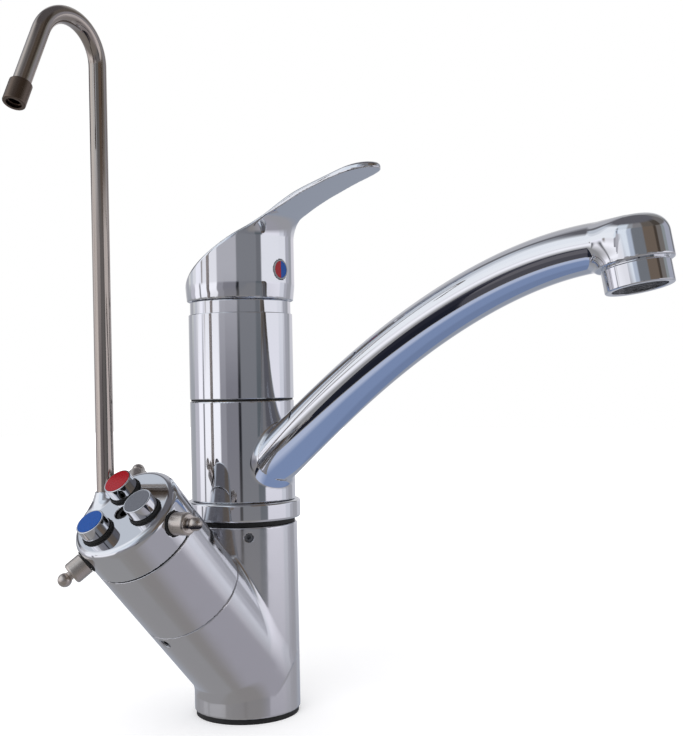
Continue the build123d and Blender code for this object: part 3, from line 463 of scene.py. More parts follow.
# Glass filled acetal of the flow straightener: dull dark grey.
mesh_plastic, tree, shader = finish("grey_acetal_mesh", "#4b4c50", Roughness=0.5)
grain(tree, shader, 0.4, 0.01, low=0.42, high=0.6)
NOZZLE_TURN = Matrix.Translation(Vector(NOZZLE_PLACE) * MM) @ Matrix.Rotation(-NOZZLE_TILT, 4, "X")
housing = turned("aerator_ring", [
    (13.4, 0, 0.5), (13.4, 8.4, 0.25), (12.6, 8.8, 0), (12.6, 9.4, 0), (12.0, 9.4, 0), (12.0, 16.8, 0),
    (10.8, 16.8, 0), (10.8, 0, 0.3)])
fit(place(housing, NOZZLE_TURN), chrome, "chrome", "spout", "aerator_housing")
dress("aerator_insert", mesh_plastic)
dress("aerator_seal", black_rubber)

# ---------------------------------------------------------------- upper sleeve
# A thin black washer and the chrome tube that screws onto the column and holds the cartridge.

UPPER_WASHER_FOOT = 153.3
TOP_SLEEVE_FOOT, TOP_SLEEVE_TOP = 154.1, 195.5
THREAD_TOP = 184.1              # the sleeve's bore widens above its thread
fit(ring("upper_washer_ring", WASHER_RADIUS, ON_COLUMN, UPPER_WASHER_FOOT, TOP_SLEEVE_FOOT, 0.1),
    black_rubber, "black_rubber", "base", "upper_washer")
fit(turned("cartridge_sleeve_tube", [
    (SLEEVE_RADIUS, TOP_SLEEVE_FOOT, SLEEVE_EDGE), (SLEEVE_RADIUS, TOP_SLEEVE_TOP, 0.35),
    (22.05, TOP_SLEEVE_TOP, 0), (22.05, THREAD_TOP, 0), (ON_COLUMN, THREAD_TOP, 0),
    (ON_COLUMN, TOP_SLEEVE_FOOT, 0)]), chrome, "chrome", "base", "cartridge_sleeve")

# ---------------------------------------------------------------- cartridge
# The ceramic disc cartridge under the lever: moulded plastic parts, alumina discs and a brass nut.
# The nut clamps it on the column inside the sleeve. Only the stem shows, when the lever is lifted.

# Moulded nylon: dark, half matt, with the bloom of the mould.
black_plastic, tree, shader = finish("moulded_black_nylon", "#202124", Roughness=0.4)
grain(tree, shader, 0.5, 0.01, low=0.34, high=0.5)
grey_plastic, tree, shader = finish("moulded_grey_nylon", "#8b8e92", Roughness=0.42)
grain(tree, shader, 0.5, 0.01, low=0.36, high=0.5)
# Lapped alumina: creamy white and very smooth.
ceramic, tree, shader = finish("lapped_alumina", "#efe9dc", Roughness=0.16)
grain(tree, shader, 0.8, 0.002, low=0.12, high=0.22)
for name in ("cartridge_base", "cartridge_turret"):
    dress(name, white_plastic)
dress("cartridge_body", grey_plastic)
dress("disc_carrier", black_plastic)
dress("cartridge_seals", black_rubber)
for name in ("fixed_disc", "moving_disc"):
    dress(name, ceramic)
for name in ("lever_stem", "cartridge_nut"):
    dress(name, brass)
for name in ("stem_pin", "lever_screw"):
    dress(name, steel)

# ---------------------------------------------------------------- cover under the lever
# A chromed cover pressed into the sleeve; its collar shows as a narrow band under the lever.

COLLAR_TOP = 202.0
fit(turned("cover_collar", [
    (24.7, TOP_SLEEVE_TOP, 0.0), (24.7, COLLAR_TOP, 0.8), (12.0, COLLAR_TOP, 0.2), (12.0, 200.4, 0),
    (20.6, 200.4, 0), (20.6, 189.8, 0), (22.0, 189.8, 0), (22.0, TOP_SLEEVE_TOP, 0)]),
    chrome, "chrome", "base", "dome_cover")

# ---------------------------------------------------------------- lever
# One chrome casting: a round skirt cut off by the sloping top face, which runs on as the blade.
# The neck is hollowed under the blade, and the shell clears the cover as it tilts.

RIM = COLLAR_TOP
PIVOT = 186.0                   # height of the pin that the lever tilts on
LEVER_RADIUS = 26.9
LEVER_EDGE = 1.7
LEAVES_AT = radians(47.0)       # where the blade's sides leave the round body, from its middle
BLADE_OUTLINE = [               # reach from the axis, half width
    (24.0, 15.2), (29.0, 12.7), (36.0, 11.5), (46.0, 11.1), (57.0, 10.6), (67.0, 9.9), (75.0, 8.9),
    (80.5, 7.0), (84.3, 4.0), (85.7, 0.0)]
TOP_PROFILE = [                 # reach, height above the rim
    (-32.0, 0.6), (-20.0, 8.0), (-8.0, 15.4), (4.0, 23.0), (14.0, 29.7), (23.0, 36.3), (31.0, 41.8),
    (39.0, 45.8), (48.0, 49.2), (58.0, 52.1), (68.0, 54.9), (78.0, 57.2), (90.0, 58.0)]
UNDER_PROFILE = [
    (44.4, 44.3), (51.4, 46.9), (58.2, 49.0), (64.9, 51.0), (71.4, 52.6), (78.0, 53.9), (92.0, 55.6)]
NECK_RADIUS = 11.0              # of the hollow throat between body and blade
NECK_START = 29.5               # height of its middle above the rim
NECK_TURN = radians(112.0)      # direction from its middle to where the blade's underside starts
FLARE = 7.5                     # height above the rim below which the skirt narrows
RIM_RADIUS = 26.1
INSIDE_RADIUS = 29.98           # of the ball that the shell is hollowed to, round the pin
INSIDE_ROOF = 16.5
LIFT = radians(20.0)
INDICATOR_HEIGHT, INDICATOR_HOLE, INDICATOR_BACK = 216.0, 4.75, 23.4


def smooth_line(points, start=None, end=None, steps=12):
    """Points along a cubic through the given ones, with optional directions at its ends."""
    p = np.array(points, float)
    gaps = np.linalg.norm(np.diff(p, axis=0), axis=1)
    slopes = np.diff(p, axis=0) / gaps[:, None]
    tangents = np.empty_like(p)
    weights = (gaps[1:] + gaps[:-1])[:, None]
    tangents[1:-1] = (slopes[:-1] * gaps[1:, None] + slopes[1:] * gaps[:-1, None]) / weights
    for first, beside, given in ((0, 1, start), (-1, -2, end)):
        if given is None:
            tangents[first] = slopes[first] * 1.5 - tangents[beside] * 0.5
        else:
            tangents[first] = np.array(given) / np.linalg.norm(given)
    out = []
    for i, gap in enumerate(gaps):
        for t in np.arange(steps) / steps:
            a, b = 2 * t ** 3 - 3 * t ** 2 + 1, t ** 3 - 2 * t ** 2 + t
            lean = b * tangents[i] + (t ** 3 - t ** 2) * tangents[i + 1]
            out.append(a * p[i] + (1 - a) * p[i + 1] + gap * lean)
    return np.array(out + [p[-1]])


def outline_gap(u, v, corners, open_sides=0):
    """Signed distance from points to a closed outline, negative inside. Its last sides may count as open."""
    u, v = np.broadcast_arrays(np.asarray(u, float), np.asarray(v, float))
    nearest = np.full(u.shape, 1e9)
    inside = np.zeros(u.shape, bool)
    ends = np.roll(corners, -1, axis=0)
    for index, ((au, av), (bu, bv)) in enumerate(zip(corners, ends)):
        du, dv = bu - au, bv - av
        share = np.clip(((u - au) * du + (v - av) * dv) / (du * du + dv * dv + 1e-12), 0, 1)
        if index < len(corners) - open_sides:
            nearest = np.minimum(nearest, (u - au - share * du) ** 2 + (v - av - share * dv) ** 2)
        crosses = (av > v) != (bv > v)
        inside ^= crosses & (u < au + (v - av) * du / (dv if abs(dv) > 1e-12 else 1e-12))
    return np.where(inside, -1, 1) * np.sqrt(nearest)


leave = (LEVER_RADIUS * sin(LEAVES_AT), -LEVER_RADIUS * cos(LEAVES_AT))
edge_line = smooth_line([leave] + [(half, -reach) for reach, half in BLADE_OUTLINE],
                        (-cos(LEAVES_AT), -sin(LEAVES_AT)), (-1, 0))
plan = np.array([tuple(p) for p in edge_line] + [(-p[0], p[1]) for p in edge_line[-2::-1]]
                + [(-32.0, 6.0), (32.0, 6.0)])
crest = smooth_line(TOP_PROFILE)
crest_fit = np.polynomial.Polynomial.fit(-crest[:, 0], RIM + crest[:, 1], 9)
neck_centre = (LEVER_RADIUS + NECK_RADIUS, RIM + NECK_START)
neck = [(neck_centre[0] + NECK_RADIUS * cos(a), neck_centre[1] + NECK_RADIUS * sin(a))
        for a in np.linspace(pi, NECK_TURN, 90)]
under = smooth_line([neck[-1]] + [(r, RIM + h) for r, h in UNDER_PROFILE],
                    (sin(NECK_TURN), -cos(NECK_TURN)), (1, 0.12))
below = np.array([(LEVER_RADIUS, RIM + FLARE)] + neck + [tuple(p) for p in under[1:]]
                 + [(92.0, RIM - 4), (RIM_RADIUS, RIM - 4), (RIM_RADIUS, RIM)])
TABLE_STEP = 0.25


def gap_table(low, high, corners, open_sides=0):
    """Distances to an outline on a fine grid, as a function that reads between its points."""
    us, vs = [np.arange(a, b + TABLE_STEP, TABLE_STEP) for a, b in zip(low, high)]
    table = outline_gap(us[:, None], vs[None, :], corners, open_sides)

    def read(u, v):
        u, v = np.broadcast_arrays(np.asarray(u, float), np.asarray(v, float))
        fu = np.clip((u - low[0]) / TABLE_STEP, 0, len(us) - 1.001)
        fv = np.clip((v - low[1]) / TABLE_STEP, 0, len(vs) - 1.001)
        i, j = fu.astype(int), fv.astype(int)
        a, b = fu - i, fv - j
        return ((1 - a) * ((1 - b) * table[i, j] + b * table[i, j + 1])
                + a * ((1 - b) * table[i + 1, j] + b * table[i + 1, j + 1]))

    return read


plan_gap = gap_table((-30, -90), (30, 2), plan, 3)
below_gap = gap_table((20, RIM - 6), (95, RIM + 64), below)


def lever(x, y, z):
    round_body = np.hypot(x, y) - LEVER_RADIUS
    side = np.where(np.arctan2(np.abs(x), -y) > LEAVES_AT, round_body, plan_gap(x, y))
    top = (z - crest_fit(y)) / np.sqrt(1 + crest_fit.deriv()(y) ** 2)
    solid = rounded_both(side, top, LEVER_EDGE)
    solid = rounded_both(solid, RIM - z, 0.4)
    solid = rounded_both(solid, -below_gap(np.hypot(x, y), z), 0.5)
    level = z - PIVOT
    ball = np.sqrt(x * x + y * y + level * level) - INSIDE_RADIUS
    hollow = np.maximum(ball, np.minimum(level, level * cos(LIFT) - y * sin(LIFT)) - INSIDE_ROOF)
    button = np.maximum(np.hypot(x, z - INDICATOR_HEIGHT) - INDICATOR_HOLE, y + INDICATOR_BACK)
    return rounded_both(solid, -np.minimum(hollow, button), 0.2)


fit(cast("lever_casting", lever, (-27.5, -87, 201), (27.5, 27.5, 261), 0.7, 0.25), chrome, "chrome",
    "lever_assembly", "lever")

# ---------------------------------------------------------------- indicator
# A grey plug pressed into the lever's front, with a red and a blue half set in it. It covers the
# screw that holds the lever.

# Moulded ABS in signal colours, as on the buttons: saturated, with a half gloss.
red_inlay, tree, shader = finish("red_gloss_inlay", "#9c1320", Roughness=0.3, Specular_IOR_Level=0.3)
grain(tree, shader, 0.6, 0.004, low=0.2, high=0.34)
blue_inlay, tree, shader = finish("blue_gloss_inlay", "#07499a", Roughness=0.3, Specular_IOR_Level=0.3)
grain(tree, shader, 0.6, 0.004, low=0.2, high=0.34)
grey_inlay, tree, shader = finish("grey_gloss_inlay", "#61646d", Roughness=0.34, Specular_IOR_Level=0.3)
grain(tree, shader, 0.6, 0.004, low=0.24, high=0.38)
dress("indicator_base", grey_plastic)
dress("indicator_hot", red_inlay)
dress("indicator_cold", blue_inlay)

# ---------------------------------------------------------------- valve housing
# The middle casting of the filter head, chrome plated brass, spigoted into the branch and held by
# the low screw. Its upper side is cut away where it passes the column.

HOUSING_FOOT, HOUSING_TOP = 56.45, 96.3
SPIGOT_RADIUS = 19.95
SPIGOT_FOOT, SPIGOT_TOP = 48.0, 57.0
PAST_COLUMN = 26.15             # radius of the cut that clears the column


def valve_housing(x, y, z):
    up, side, out = branch_frame(x, y, z)
    reach = np.hypot(up, side)
    half = (HOUSING_TOP - HOUSING_FOOT) / 2
    drum = rounded_both(reach - BRANCH_RADIUS, np.abs(out - HOUSING_FOOT - half) - half, SEAM_EDGE)
    cut = PAST_COLUMN - np.hypot(x, y)
    middle, length = (SPIGOT_FOOT + SPIGOT_TOP) / 2, SPIGOT_TOP - SPIGOT_FOOT
    spigot = np.maximum(reach - SPIGOT_RADIUS, np.abs(out - middle) - length / 2)
    return np.minimum(rounded_both(drum, cut, 0.4), np.maximum(spigot, cut))


fit(cast("valve_housing_casting", valve_housing, (-86, -27, 40), (-18, 27, 113), 0.6), soft_chrome, "chrome",
    "base", "valve_housing")
dress("housing_o_ring", black_rubber)
dress("tube_collets", black_plastic)
dress("valve_seats", black_rubber)
dress("head_gasket", black_rubber)

# ---------------------------------------------------------------- head cap
# The end casting: a flat mirror face with a big rounded edge, and the lug that holds the
# filter spout growing out of its side.

CAP_FOOT, HEAD_FACE = 96.9, 114.3
VALVE_PITCH = 13.7
VALVE_ANGLES = {"red": radians(34.0), "blue": radians(154.0), "grey": radians(274.0)}
SPOT_ALONG = 106.4              # of the flow screws' axes, along the branch
SPOT_BORE, SPOT_FLOOR = 5.55, 25.0
FACE_EDGE = 3.4
BUTTON_BORE, BUTTON_FLOOR = 6.95, 109.3
RING_SEAT, RING_FLOOR = 7.45, 113.6
CENTRE_BORE, CENTRE_FLOOR = 4.15, 110.4
PIPE_PLACE = (-71.0, 19.6)
PIPE_BORE = 4.15
LUG_RADIUS, LUG_TOP = 6.9, 113.8
LUG_NECK = 106.0                # the lug widens below this height
LUG_TAPER, LUG_SLANT = 0.308, 1.046     # by this share of the drop, and its slant per unit of height


def head_cap(x, y, z):
    up, side, out = branch_frame(x, y, z)
    reach = np.hypot(up, side)
    block = rounded_both(reach - BRANCH_RADIUS, out - HEAD_FACE, FACE_EDGE)
    block = rounded_both(block, CAP_FOOT - out, SEAM_EDGE)
    around = np.hypot(x - PIPE_PLACE[0], y - PIPE_PLACE[1])
    taper = (around - LUG_RADIUS + (z - LUG_NECK) * LUG_TAPER) / LUG_SLANT
    lug = rounded_both(np.maximum(around - LUG_RADIUS, taper), z - LUG_TOP, 0.5)
    lug = rounded_both(lug, CAP_FOOT - out, SEAM_EDGE)
    solid = rounded_either(block, lug, 1.6)
    holes = np.minimum(around - PIPE_BORE, np.maximum(reach - CENTRE_BORE, CENTRE_FLOOR - out))
    for angle in VALVE_ANGLES.values():
        across, along = up * cos(angle) + side * sin(angle), side * cos(angle) - up * sin(angle)
        near = np.hypot(across - VALVE_PITCH, along)
        holes = np.minimum(holes, np.maximum(near - RING_SEAT, RING_FLOOR - out))
        holes = np.minimum(holes, np.maximum(near - BUTTON_BORE, BUTTON_FLOOR - out))
        spot = np.hypot(along, out - SPOT_ALONG)
        holes = np.minimum(holes, np.maximum(spot - SPOT_BORE, SPOT_FLOOR - across))
    return rounded_both(solid, -holes, 0.25)


fit(cast("head_cap_casting", head_cap, (-98, -27, 74), (-45, 29, 126), 0.55), chrome, "chrome", "base",
    "head_cap")

# ---------------------------------------------------------------- centre screw
# A hardened steel socket screw in the middle of the face, which holds the head together.
# Its deep hexagon looks black.

# Blackened steel: nearly black metal with a soft shine.
dark_steel, tree, shader = finish("blackened_steel", "#2c2b29", Metallic=1.0, Roughness=0.32)
grain(tree, shader, 0.3, 0.004, low=0.25, high=0.42)
dress("centre_screw", dark_steel)

# ---------------------------------------------------------------- button rings and bushes
# White acetal bushes, pressed into the head, guide the valve stems. A black rubber ring sits in a
# recess round each button and stands a little proud of the face.

dress("gland_bushes", white_plastic)
dress("button_rings", black_rubber)

# ---------------------------------------------------------------- push buttons
# Three chromed brass barrels that slide in bores of the face, each with a gloss moulded disc set in
# its crown: red, blue and grey. Each is fixed on the brass stem of its valve.


def round_branch(angle):
    """Matrix whose Z runs out along the branch from the crossing, turned about it by an angle."""
    branch = Matrix.Translation((0, 0, BRANCH_CROSSING * MM)) @ Matrix.Rotation(-LEAN, 4, "Y")
    return branch @ Matrix.Rotation(angle, 4, "Z")


def at_valve(angle):
    """Matrix of a valve's axis."""
    return round_branch(angle) @ Matrix.Translation((VALVE_PITCH * MM, 0, 0))


BARREL_RADIUS, BARREL_BORE = 6.8, 5.7
BARREL_FOOT, CROWN = 113.4, 121.3
INLAY_SEAT, BARREL_ROOF = CROWN - 1.0, CROWN - 1.9
INLAY_RADIUS, INLAY_TOP = 6.15, CROWN + 0.25
inlays = {"red": red_inlay, "blue": blue_inlay, "grey": grey_inlay}
for colour, angle in VALVE_ANGLES.items():
    barrel = turned(colour + "_button_barrel", [
        (BARREL_RADIUS, BARREL_FOOT, 0.2), (BARREL_RADIUS, CROWN, 0.3), (6.2, CROWN, 0), (6.2, INLAY_SEAT, 0),
        (0, INLAY_SEAT, 0), (0, BARREL_ROOF, 0), (BARREL_BORE, BARREL_ROOF, 0),
        (BARREL_BORE, BARREL_FOOT, 0)], 96)
    fit(place(barrel, at_valve(angle)), chrome, "chrome", colour + "_push", colour + "_button")
    disc = turned(colour + "_button_disc", [
        (INLAY_RADIUS, INLAY_SEAT, 0), (INLAY_RADIUS, INLAY_TOP, 0.3), (0, INLAY_TOP, 0),
        (0, INLAY_SEAT, 0)], 96)
    fit(place(disc, at_valve(angle)), inlays[colour], colour + "_inlay", colour + "_push", colour + "_disc")
    dress(colour + "_valve", brass)

# ---------------------------------------------------------------- return springs
# Five turns of spring steel wire inside each button, from the bottom of its bore to its crown.

# Drawn spring steel: a plain grey metal with the lines of the die along the wire.
spring_steel, tree, shader = finish("drawn_spring_steel", "#85878b", Metallic=1.0, Roughness=0.3)
grain(tree, shader, 0.3, 0.003, low=0.25, high=0.38)
SPRING_TURNS = 5.0
SPRING_RADIUS = 4.6             # to the middle of the wire
WIRE_RADIUS = 0.35
SPRING_FOOT, SPRING_TOP = 109.7, 119.0          # middle of the wire in the first and last turn


def open_tree(name, sizes):
    """New Geometry Nodes tree whose inputs are a geometry, the named sizes and a finish."""
    tree = bpy.data.node_groups.new(name, "GeometryNodeTree")
    kinds = {"Geometry": "NodeSocketGeometry", "Finish": "NodeSocketMaterial"}
    for key in ("Geometry", *sizes, "Finish"):
        tree.interface.new_socket(name=key, in_out="INPUT", socket_type=kinds.get(key, "NodeSocketFloat"))
    tree.interface.new_socket(name="Geometry", in_out="OUTPUT", socket_type="NodeSocketGeometry")
    return tree, node(tree, "NodeGroupInput")


def close_tree(tree, given, shape):
    """End a tree: instances made real, smooth shading and the finish."""
    real = node(tree, "GeometryNodeRealizeInstances", None, {"Geometry": shape})
    smooth = node(tree, "GeometryNodeSetShadeSmooth", None, {0: real.outputs[0]})
    painted = node(tree, "GeometryNodeSetMaterial", None,
                   {0: smooth.outputs[0], "Material": given.outputs["Finish"]})
    node(tree, "NodeGroupOutput", None, {0: painted.outputs[0]})
    return tree


def grown(name, data, tree, values):
    """Run a Geometry Nodes tree on a curve or mesh and keep the result as a plain mesh."""
    source = bpy.data.objects.new(name + "_source", data)
    bpy.context.scene.collection.objects.link(source)
    modifier = source.modifiers.new("grow", "NODES")
    modifier.node_group = tree
    sockets = {item.name: item.identifier for item in tree.interface.items_tree if item.in_out == "INPUT"}
    for key, value in values.items():
        modifier[sockets[key]] = value
    bpy.context.view_layer.update()
    graph = bpy.context.evaluated_depsgraph_get()
    mesh = bpy.data.meshes.new_from_object(source.evaluated_get(graph), depsgraph=graph)
    mesh.name = name
    bpy.data.objects.remove(source)
    piece = bpy.data.objects.new(name, mesh)
    bpy.context.scene.collection.objects.link(piece)
    return piece


def wire_coil_tree():
    """Round wire wound evenly along Z."""
    tree, given = open_tree("wire_coil", ("Turns", "Coil radius", "Height", "Wire radius"))
    coil = node(tree, "GeometryNodeCurveSpiral", {"Resolution": 40}, {
        "Rotations": given.outputs["Turns"], "Start Radius": given.outputs["Coil radius"],
        "End Radius": given.outputs["Coil radius"], "Height": given.outputs["Height"]})
    section = node(tree, "GeometryNodeCurvePrimitiveCircle", {"Resolution": 14},
                   {"Radius": given.outputs["Wire radius"]})
    wire = node(tree, "GeometryNodeCurveToMesh", {"Fill Caps": True},
                {"Curve": coil.outputs[0], "Profile Curve": section.outputs[0]})
    return close_tree(tree, given, wire.outputs[0])


wire_coil = wire_coil_tree()
for colour, angle in VALVE_ANGLES.items():
    coil = grown(colour + "_return_spring", bpy.data.meshes.new(colour + "_wire"), wire_coil, {
        "Turns": SPRING_TURNS, "Coil radius": SPRING_RADIUS * MM, "Height": (SPRING_TOP - SPRING_FOOT) * MM,
        "Wire radius": WIRE_RADIUS * MM, "Finish": spring_steel})
    coil.data.set_sharp_from_angle(angle=radians(60))
    seat = at_valve(angle) @ Matrix.Translation((0, 0, SPRING_FOOT * MM))
    fit(place(coil, seat), spring_steel, "spring_steel", "base", colour + "_spring")
    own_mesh(coil)

# ---------------------------------------------------------------- flow screws
# Satin nickel screws round the head, each a knob on a dark seat ring with a small ball end.

# Satin nickel plate: warm grey metal with the fine scratches of a wire brush.
nickel, tree, shader = finish("satin_nickel_plate", "#d2cac3", Metallic=1.0, Roughness=0.32)
grain(tree, shader, 0.5, 0.006, low=0.24, high=0.38)
STEM_START, KNOB_FOOT, KNOB_TOP = 22.9, 26.15, 34.15            # out from the branch's axis
BALL_OUT, BALL_RADIUS = 37.63, 3.1
for colour, angle in VALVE_ANGLES.items():
    ball = [(BALL_RADIUS * sin(a), BALL_OUT - BALL_RADIUS * cos(a), 0)
            for a in np.linspace(radians(38), radians(180), 20)[:-1]]
    knob = turned(colour + "_flow_knob", [
        (2.0, STEM_START, 0), (2.0, KNOB_FOOT, 0), (5.0, KNOB_FOOT, 0.4), (5.0, KNOB_TOP, 1.2),
        (1.9, KNOB_TOP, 0), (1.9, 35.2, 0.2), *ball, (0, BALL_OUT + BALL_RADIUS, 0), (0, STEM_START, 0)], 96)
    outward = Matrix.Translation((0, 0, SPOT_ALONG * MM)) @ Matrix.Rotation(pi / 2, 4, "Y")
    fit(place(knob, round_branch(angle) @ outward), nickel, "nickel", colour + "_flow_screw",
        colour + "_regulator")
dress("regulator_seats", black_rubber)

# ---------------------------------------------------------------- filter spout
# A polished stainless tube, 8 mm across, bent to a crook, with a brass ferrule in the lug.

# Drawn and polished stainless steel: a warm grey mirror with fine lines along the tube.
stainless, tree, shader = finish("polished_stainless_tube", "#b9b0a8", Metallic=1.0, Roughness=0.1)
grain(tree, shader, 1.2, 0.004, stretch=(1, 1, 0.08), low=0.07, high=0.16)
PIPE_HEADING = radians(188.0)
PIPE_FOOT, PIPE_TOP = 94.0, 306.7
PIPE_BEND = radians(155.0)
PIPE_BEND_RADIUS = 18.5
PIPE_LEG = 36.5


def bent_tube_tree():
    """Tube with an open bore that follows the curve it is given."""
    tree, given = open_tree("bent_tube", ("Outer radius", "Bore radius"))
    walls = []
    for radius in ("Outer radius", "Bore radius"):
        circle = node(tree, "GeometryNodeCurvePrimitiveCircle", {"Resolution": 64},
                      {"Radius": given.outputs[radius]})
        walls.append(node(tree, "GeometryNodeCurveToMesh", {"Fill Caps": True},
                          {"Curve": given.outputs["Geometry"], "Profile Curve": circle.outputs[0]}))
    cut = node(tree, "GeometryNodeMeshBoolean", {"operation": "DIFFERENCE", "solver": "EXACT"},
               {0: walls[0].outputs[0], 1: walls[1].outputs[0]})
    return close_tree(tree, given, cut.outputs[0])


def pipe_point(r, z):
    """Place of a point in the plane of the bend."""
    return Vector((PIPE_PLACE[0] + r * cos(PIPE_HEADING), PIPE_PLACE[1] + r * sin(PIPE_HEADING), z)) * MM


straight = [pipe_point(0, z) for z in np.linspace(PIPE_FOOT, PIPE_TOP, 24)]
bend = [pipe_point(PIPE_BEND_RADIUS * (1 - cos(a)), PIPE_TOP + PIPE_BEND_RADIUS * sin(a))
        for a in np.linspace(0, PIPE_BEND, 49)[1:]]
leg_start = (PIPE_BEND_RADIUS * (1 - cos(PIPE_BEND)), PIPE_TOP + PIPE_BEND_RADIUS * sin(PIPE_BEND))
leg = [pipe_point(leg_start[0] + t * sin(PIPE_BEND), leg_start[1] + t * cos(PIPE_BEND))
       for t in np.linspace(0, PIPE_LEG, 6)[1:]]
route = bpy.data.curves.new("pipe_route", "CURVE")
route.dimensions = "3D"
spline = route.splines.new("POLY")
spline.points.add(len(straight + bend + leg) - 1)
for point, spot in zip(spline.points, straight + bend + leg):
    point.co = (*spot, 1)
pipe = grown("filter_spout_tube", route, bent_tube_tree(),
             {"Outer radius": 4.0 * MM, "Bore radius": 3.0 * MM, "Finish": stainless})
pipe.data.set_sharp_from_angle(angle=radians(40))
fit(pipe, stainless, "stainless", "filter_spout_assembly", "filter_spout")
dress("spout_ferrule", brass)
dress("ferrule_o_ring", black_rubber)

# ---------------------------------------------------------------- filter spout tip
# A sleeve with a dark bronze plate, pressed on the end of the tube. Its lip narrows the outlet and
# keeps the tube's cut edge covered.

# Bronze tinted plate: dark brown metal, half matt.
bronze, tree, shader = finish("dark_bronze_plate", "#77695f", Metallic=1.0, Roughness=0.34)
grain(tree, shader, 0.5, 0.005, low=0.24, high=0.38)
TIP_START, TIP_END = 28.0, 38.5         # along the last leg of the tube
tip = turned("filter_spout_sleeve", [
    (5.0, TIP_START, 0.4), (5.0, TIP_END, 0.5), (3.4, TIP_END, 0.2), (3.4, PIPE_LEG, 0), (4.05, PIPE_LEG, 0),
    (4.05, TIP_START, 0)], 96)
leg_axis = Vector((sin(PIPE_BEND) * cos(PIPE_HEADING), sin(PIPE_BEND) * sin(PIPE_HEADING), cos(PIPE_BEND)))
leg_turn = leg_axis.to_track_quat("Z", "Y").to_matrix().to_4x4()
fit(place(tip, Matrix.Translation(pipe_point(*leg_start)) @ leg_turn), bronze, "bronze",
    "filter_spout_assembly", "filter_spout_tip")

# ---------------------------------------------------------------- floor
# A sheet of white paper. The camera sees it as white with the soft shadow of the tap on it, and
# whiter further out, so that it has no far edge.


def sheet_of(name, corners, height):
    """Flat stage piece with the given corners in mm, its face upwards."""
    data = bpy.data.meshes.new(name)
    data.from_pydata([(x * MM, y * MM, height * MM) for x, y in corners], [], [tuple(range(len(corners)))])
    flat = bpy.data.objects.new(name, data)
    bpy.context.scene.collection.objects.link(flat)
    return flat


FLOOR = 3000.0
floor = sheet_of("floor", [(-FLOOR, -FLOOR), (FLOOR, -FLOOR), (FLOOR, FLOOR), (-FLOOR, FLOOR)], 0)
floor_paint = bpy.data.materials.new("white_paper")
floor_paint.use_nodes = True
tree = floor_paint.node_tree
tree.nodes.clear()
rays = node(tree, "ShaderNodeLightPath")
matt = node(tree, "ShaderNodeBsdfDiffuse", {"Color": srgb("#e4e4e6")})
spread = node(tree, "ShaderNodeTexCoord")
away = node(tree, "ShaderNodeVectorMath", {"operation": "LENGTH"}, {0: spread.outputs["Object"]})
fade = node(tree, "ShaderNodeMapRange",
            {"From Min": 0.25, "From Max": 0.9, "To Min": 0.36, "To Max": 0.8},
            {"Value": away.outputs["Value"]})
lit = node(tree, "ShaderNodeEmission", {"Color": (1, 1, 1, 1)}, {"Strength": fade.outputs[0]})
glow = node(tree, "ShaderNodeAddShader", None, {0: matt.outputs[0], 1: lit.outputs[0]})
seen = node(tree, "ShaderNodeMixShader", None,
            {0: rays.outputs["Is Camera Ray"], 1: matt.outputs[0], 2: glow.outputs[0]})
node(tree, "ShaderNodeOutputMaterial", None, {0: seen.outputs[0]})
floor.data.materials.append(floor_paint)
floor.visible_glossy = False

# ---------------------------------------------------------------- studio room
# What the chrome mirrors: the floor, walls and ceiling of a studio with dark flags between
# pale screens. The bands run round the room from the camera's side, to its right.

world = bpy.data.worlds.new("studio")
bpy.context.scene.world = world
world.use_nodes = True
tree = world.node_tree
tree.nodes.clear()
CAMERA_SIDE = radians(218.0)        # direction from the tap to the camera, from +X
MIRROR_GAIN = 1.25                  # makes up for what chrome swallows
sky = node(tree, "ShaderNodeTexCoord")
turned_sky = node(tree, "ShaderNodeVectorRotate", {"rotation_type": "Z_AXIS", "Angle": -CAMERA_SIDE},
                  {"Vector": sky.outputs["Generated"]})
parts = node(tree, "ShaderNodeSeparateXYZ", None, {0: turned_sky.outputs[0]})
round_angle = node(tree, "ShaderNodeMath", {"operation": "ARCTAN2"},
                   {0: parts.outputs[1], 1: parts.outputs[0]})
round_share = node(tree, "ShaderNodeMapRange", {"From Min": -pi, "From Max": pi},
                   {"Value": round_angle.outputs[0]})
height_angle = node(tree, "ShaderNodeMath", {"operation": "ARCSINE"}, {0: parts.outputs[2]})


def bands(tree, share, low, high, stops, soft):
    """Colour ramp of bands: stops are (start, colour), each blended with the last over soft."""
    ramp = node(tree, "ShaderNodeValToRGB", None, {0: share})
    points = ramp.color_ramp.elements
    while len(points) > 1:
        points.remove(points[-1])
    placed = []
    for index, (start, colour) in enumerate(stops):
        if index:
            placed.append((start - soft / 2, stops[index - 1][1]))
        placed.append((start + (soft / 2 if index else 0), colour))
    points[0].position = max(0, (placed[0][0] - low) / (high - low))
    points[0].color = srgb(placed[0][1])
    for where, colour in placed[1:]:
        point = points.new((where - low) / (high - low))
        point.color = srgb(colour)
    return ramp


def above(tree, lower, upper, start, end):
    """Goes from one set of bands to the next over a range of heights, in degrees."""
    share = node(tree, "ShaderNodeMapRange", {"From Min": radians(start), "From Max": radians(end)},
                 {"Value": height_angle.outputs[0]})
    mix = node(tree, "ShaderNodeMix", {"data_type": "RGBA"}, {"Factor": share.outputs[0]})
    tree.links.new(lower, mix.inputs[6])
    tree.links.new(upper, mix.inputs[7])
    return mix.outputs[2]


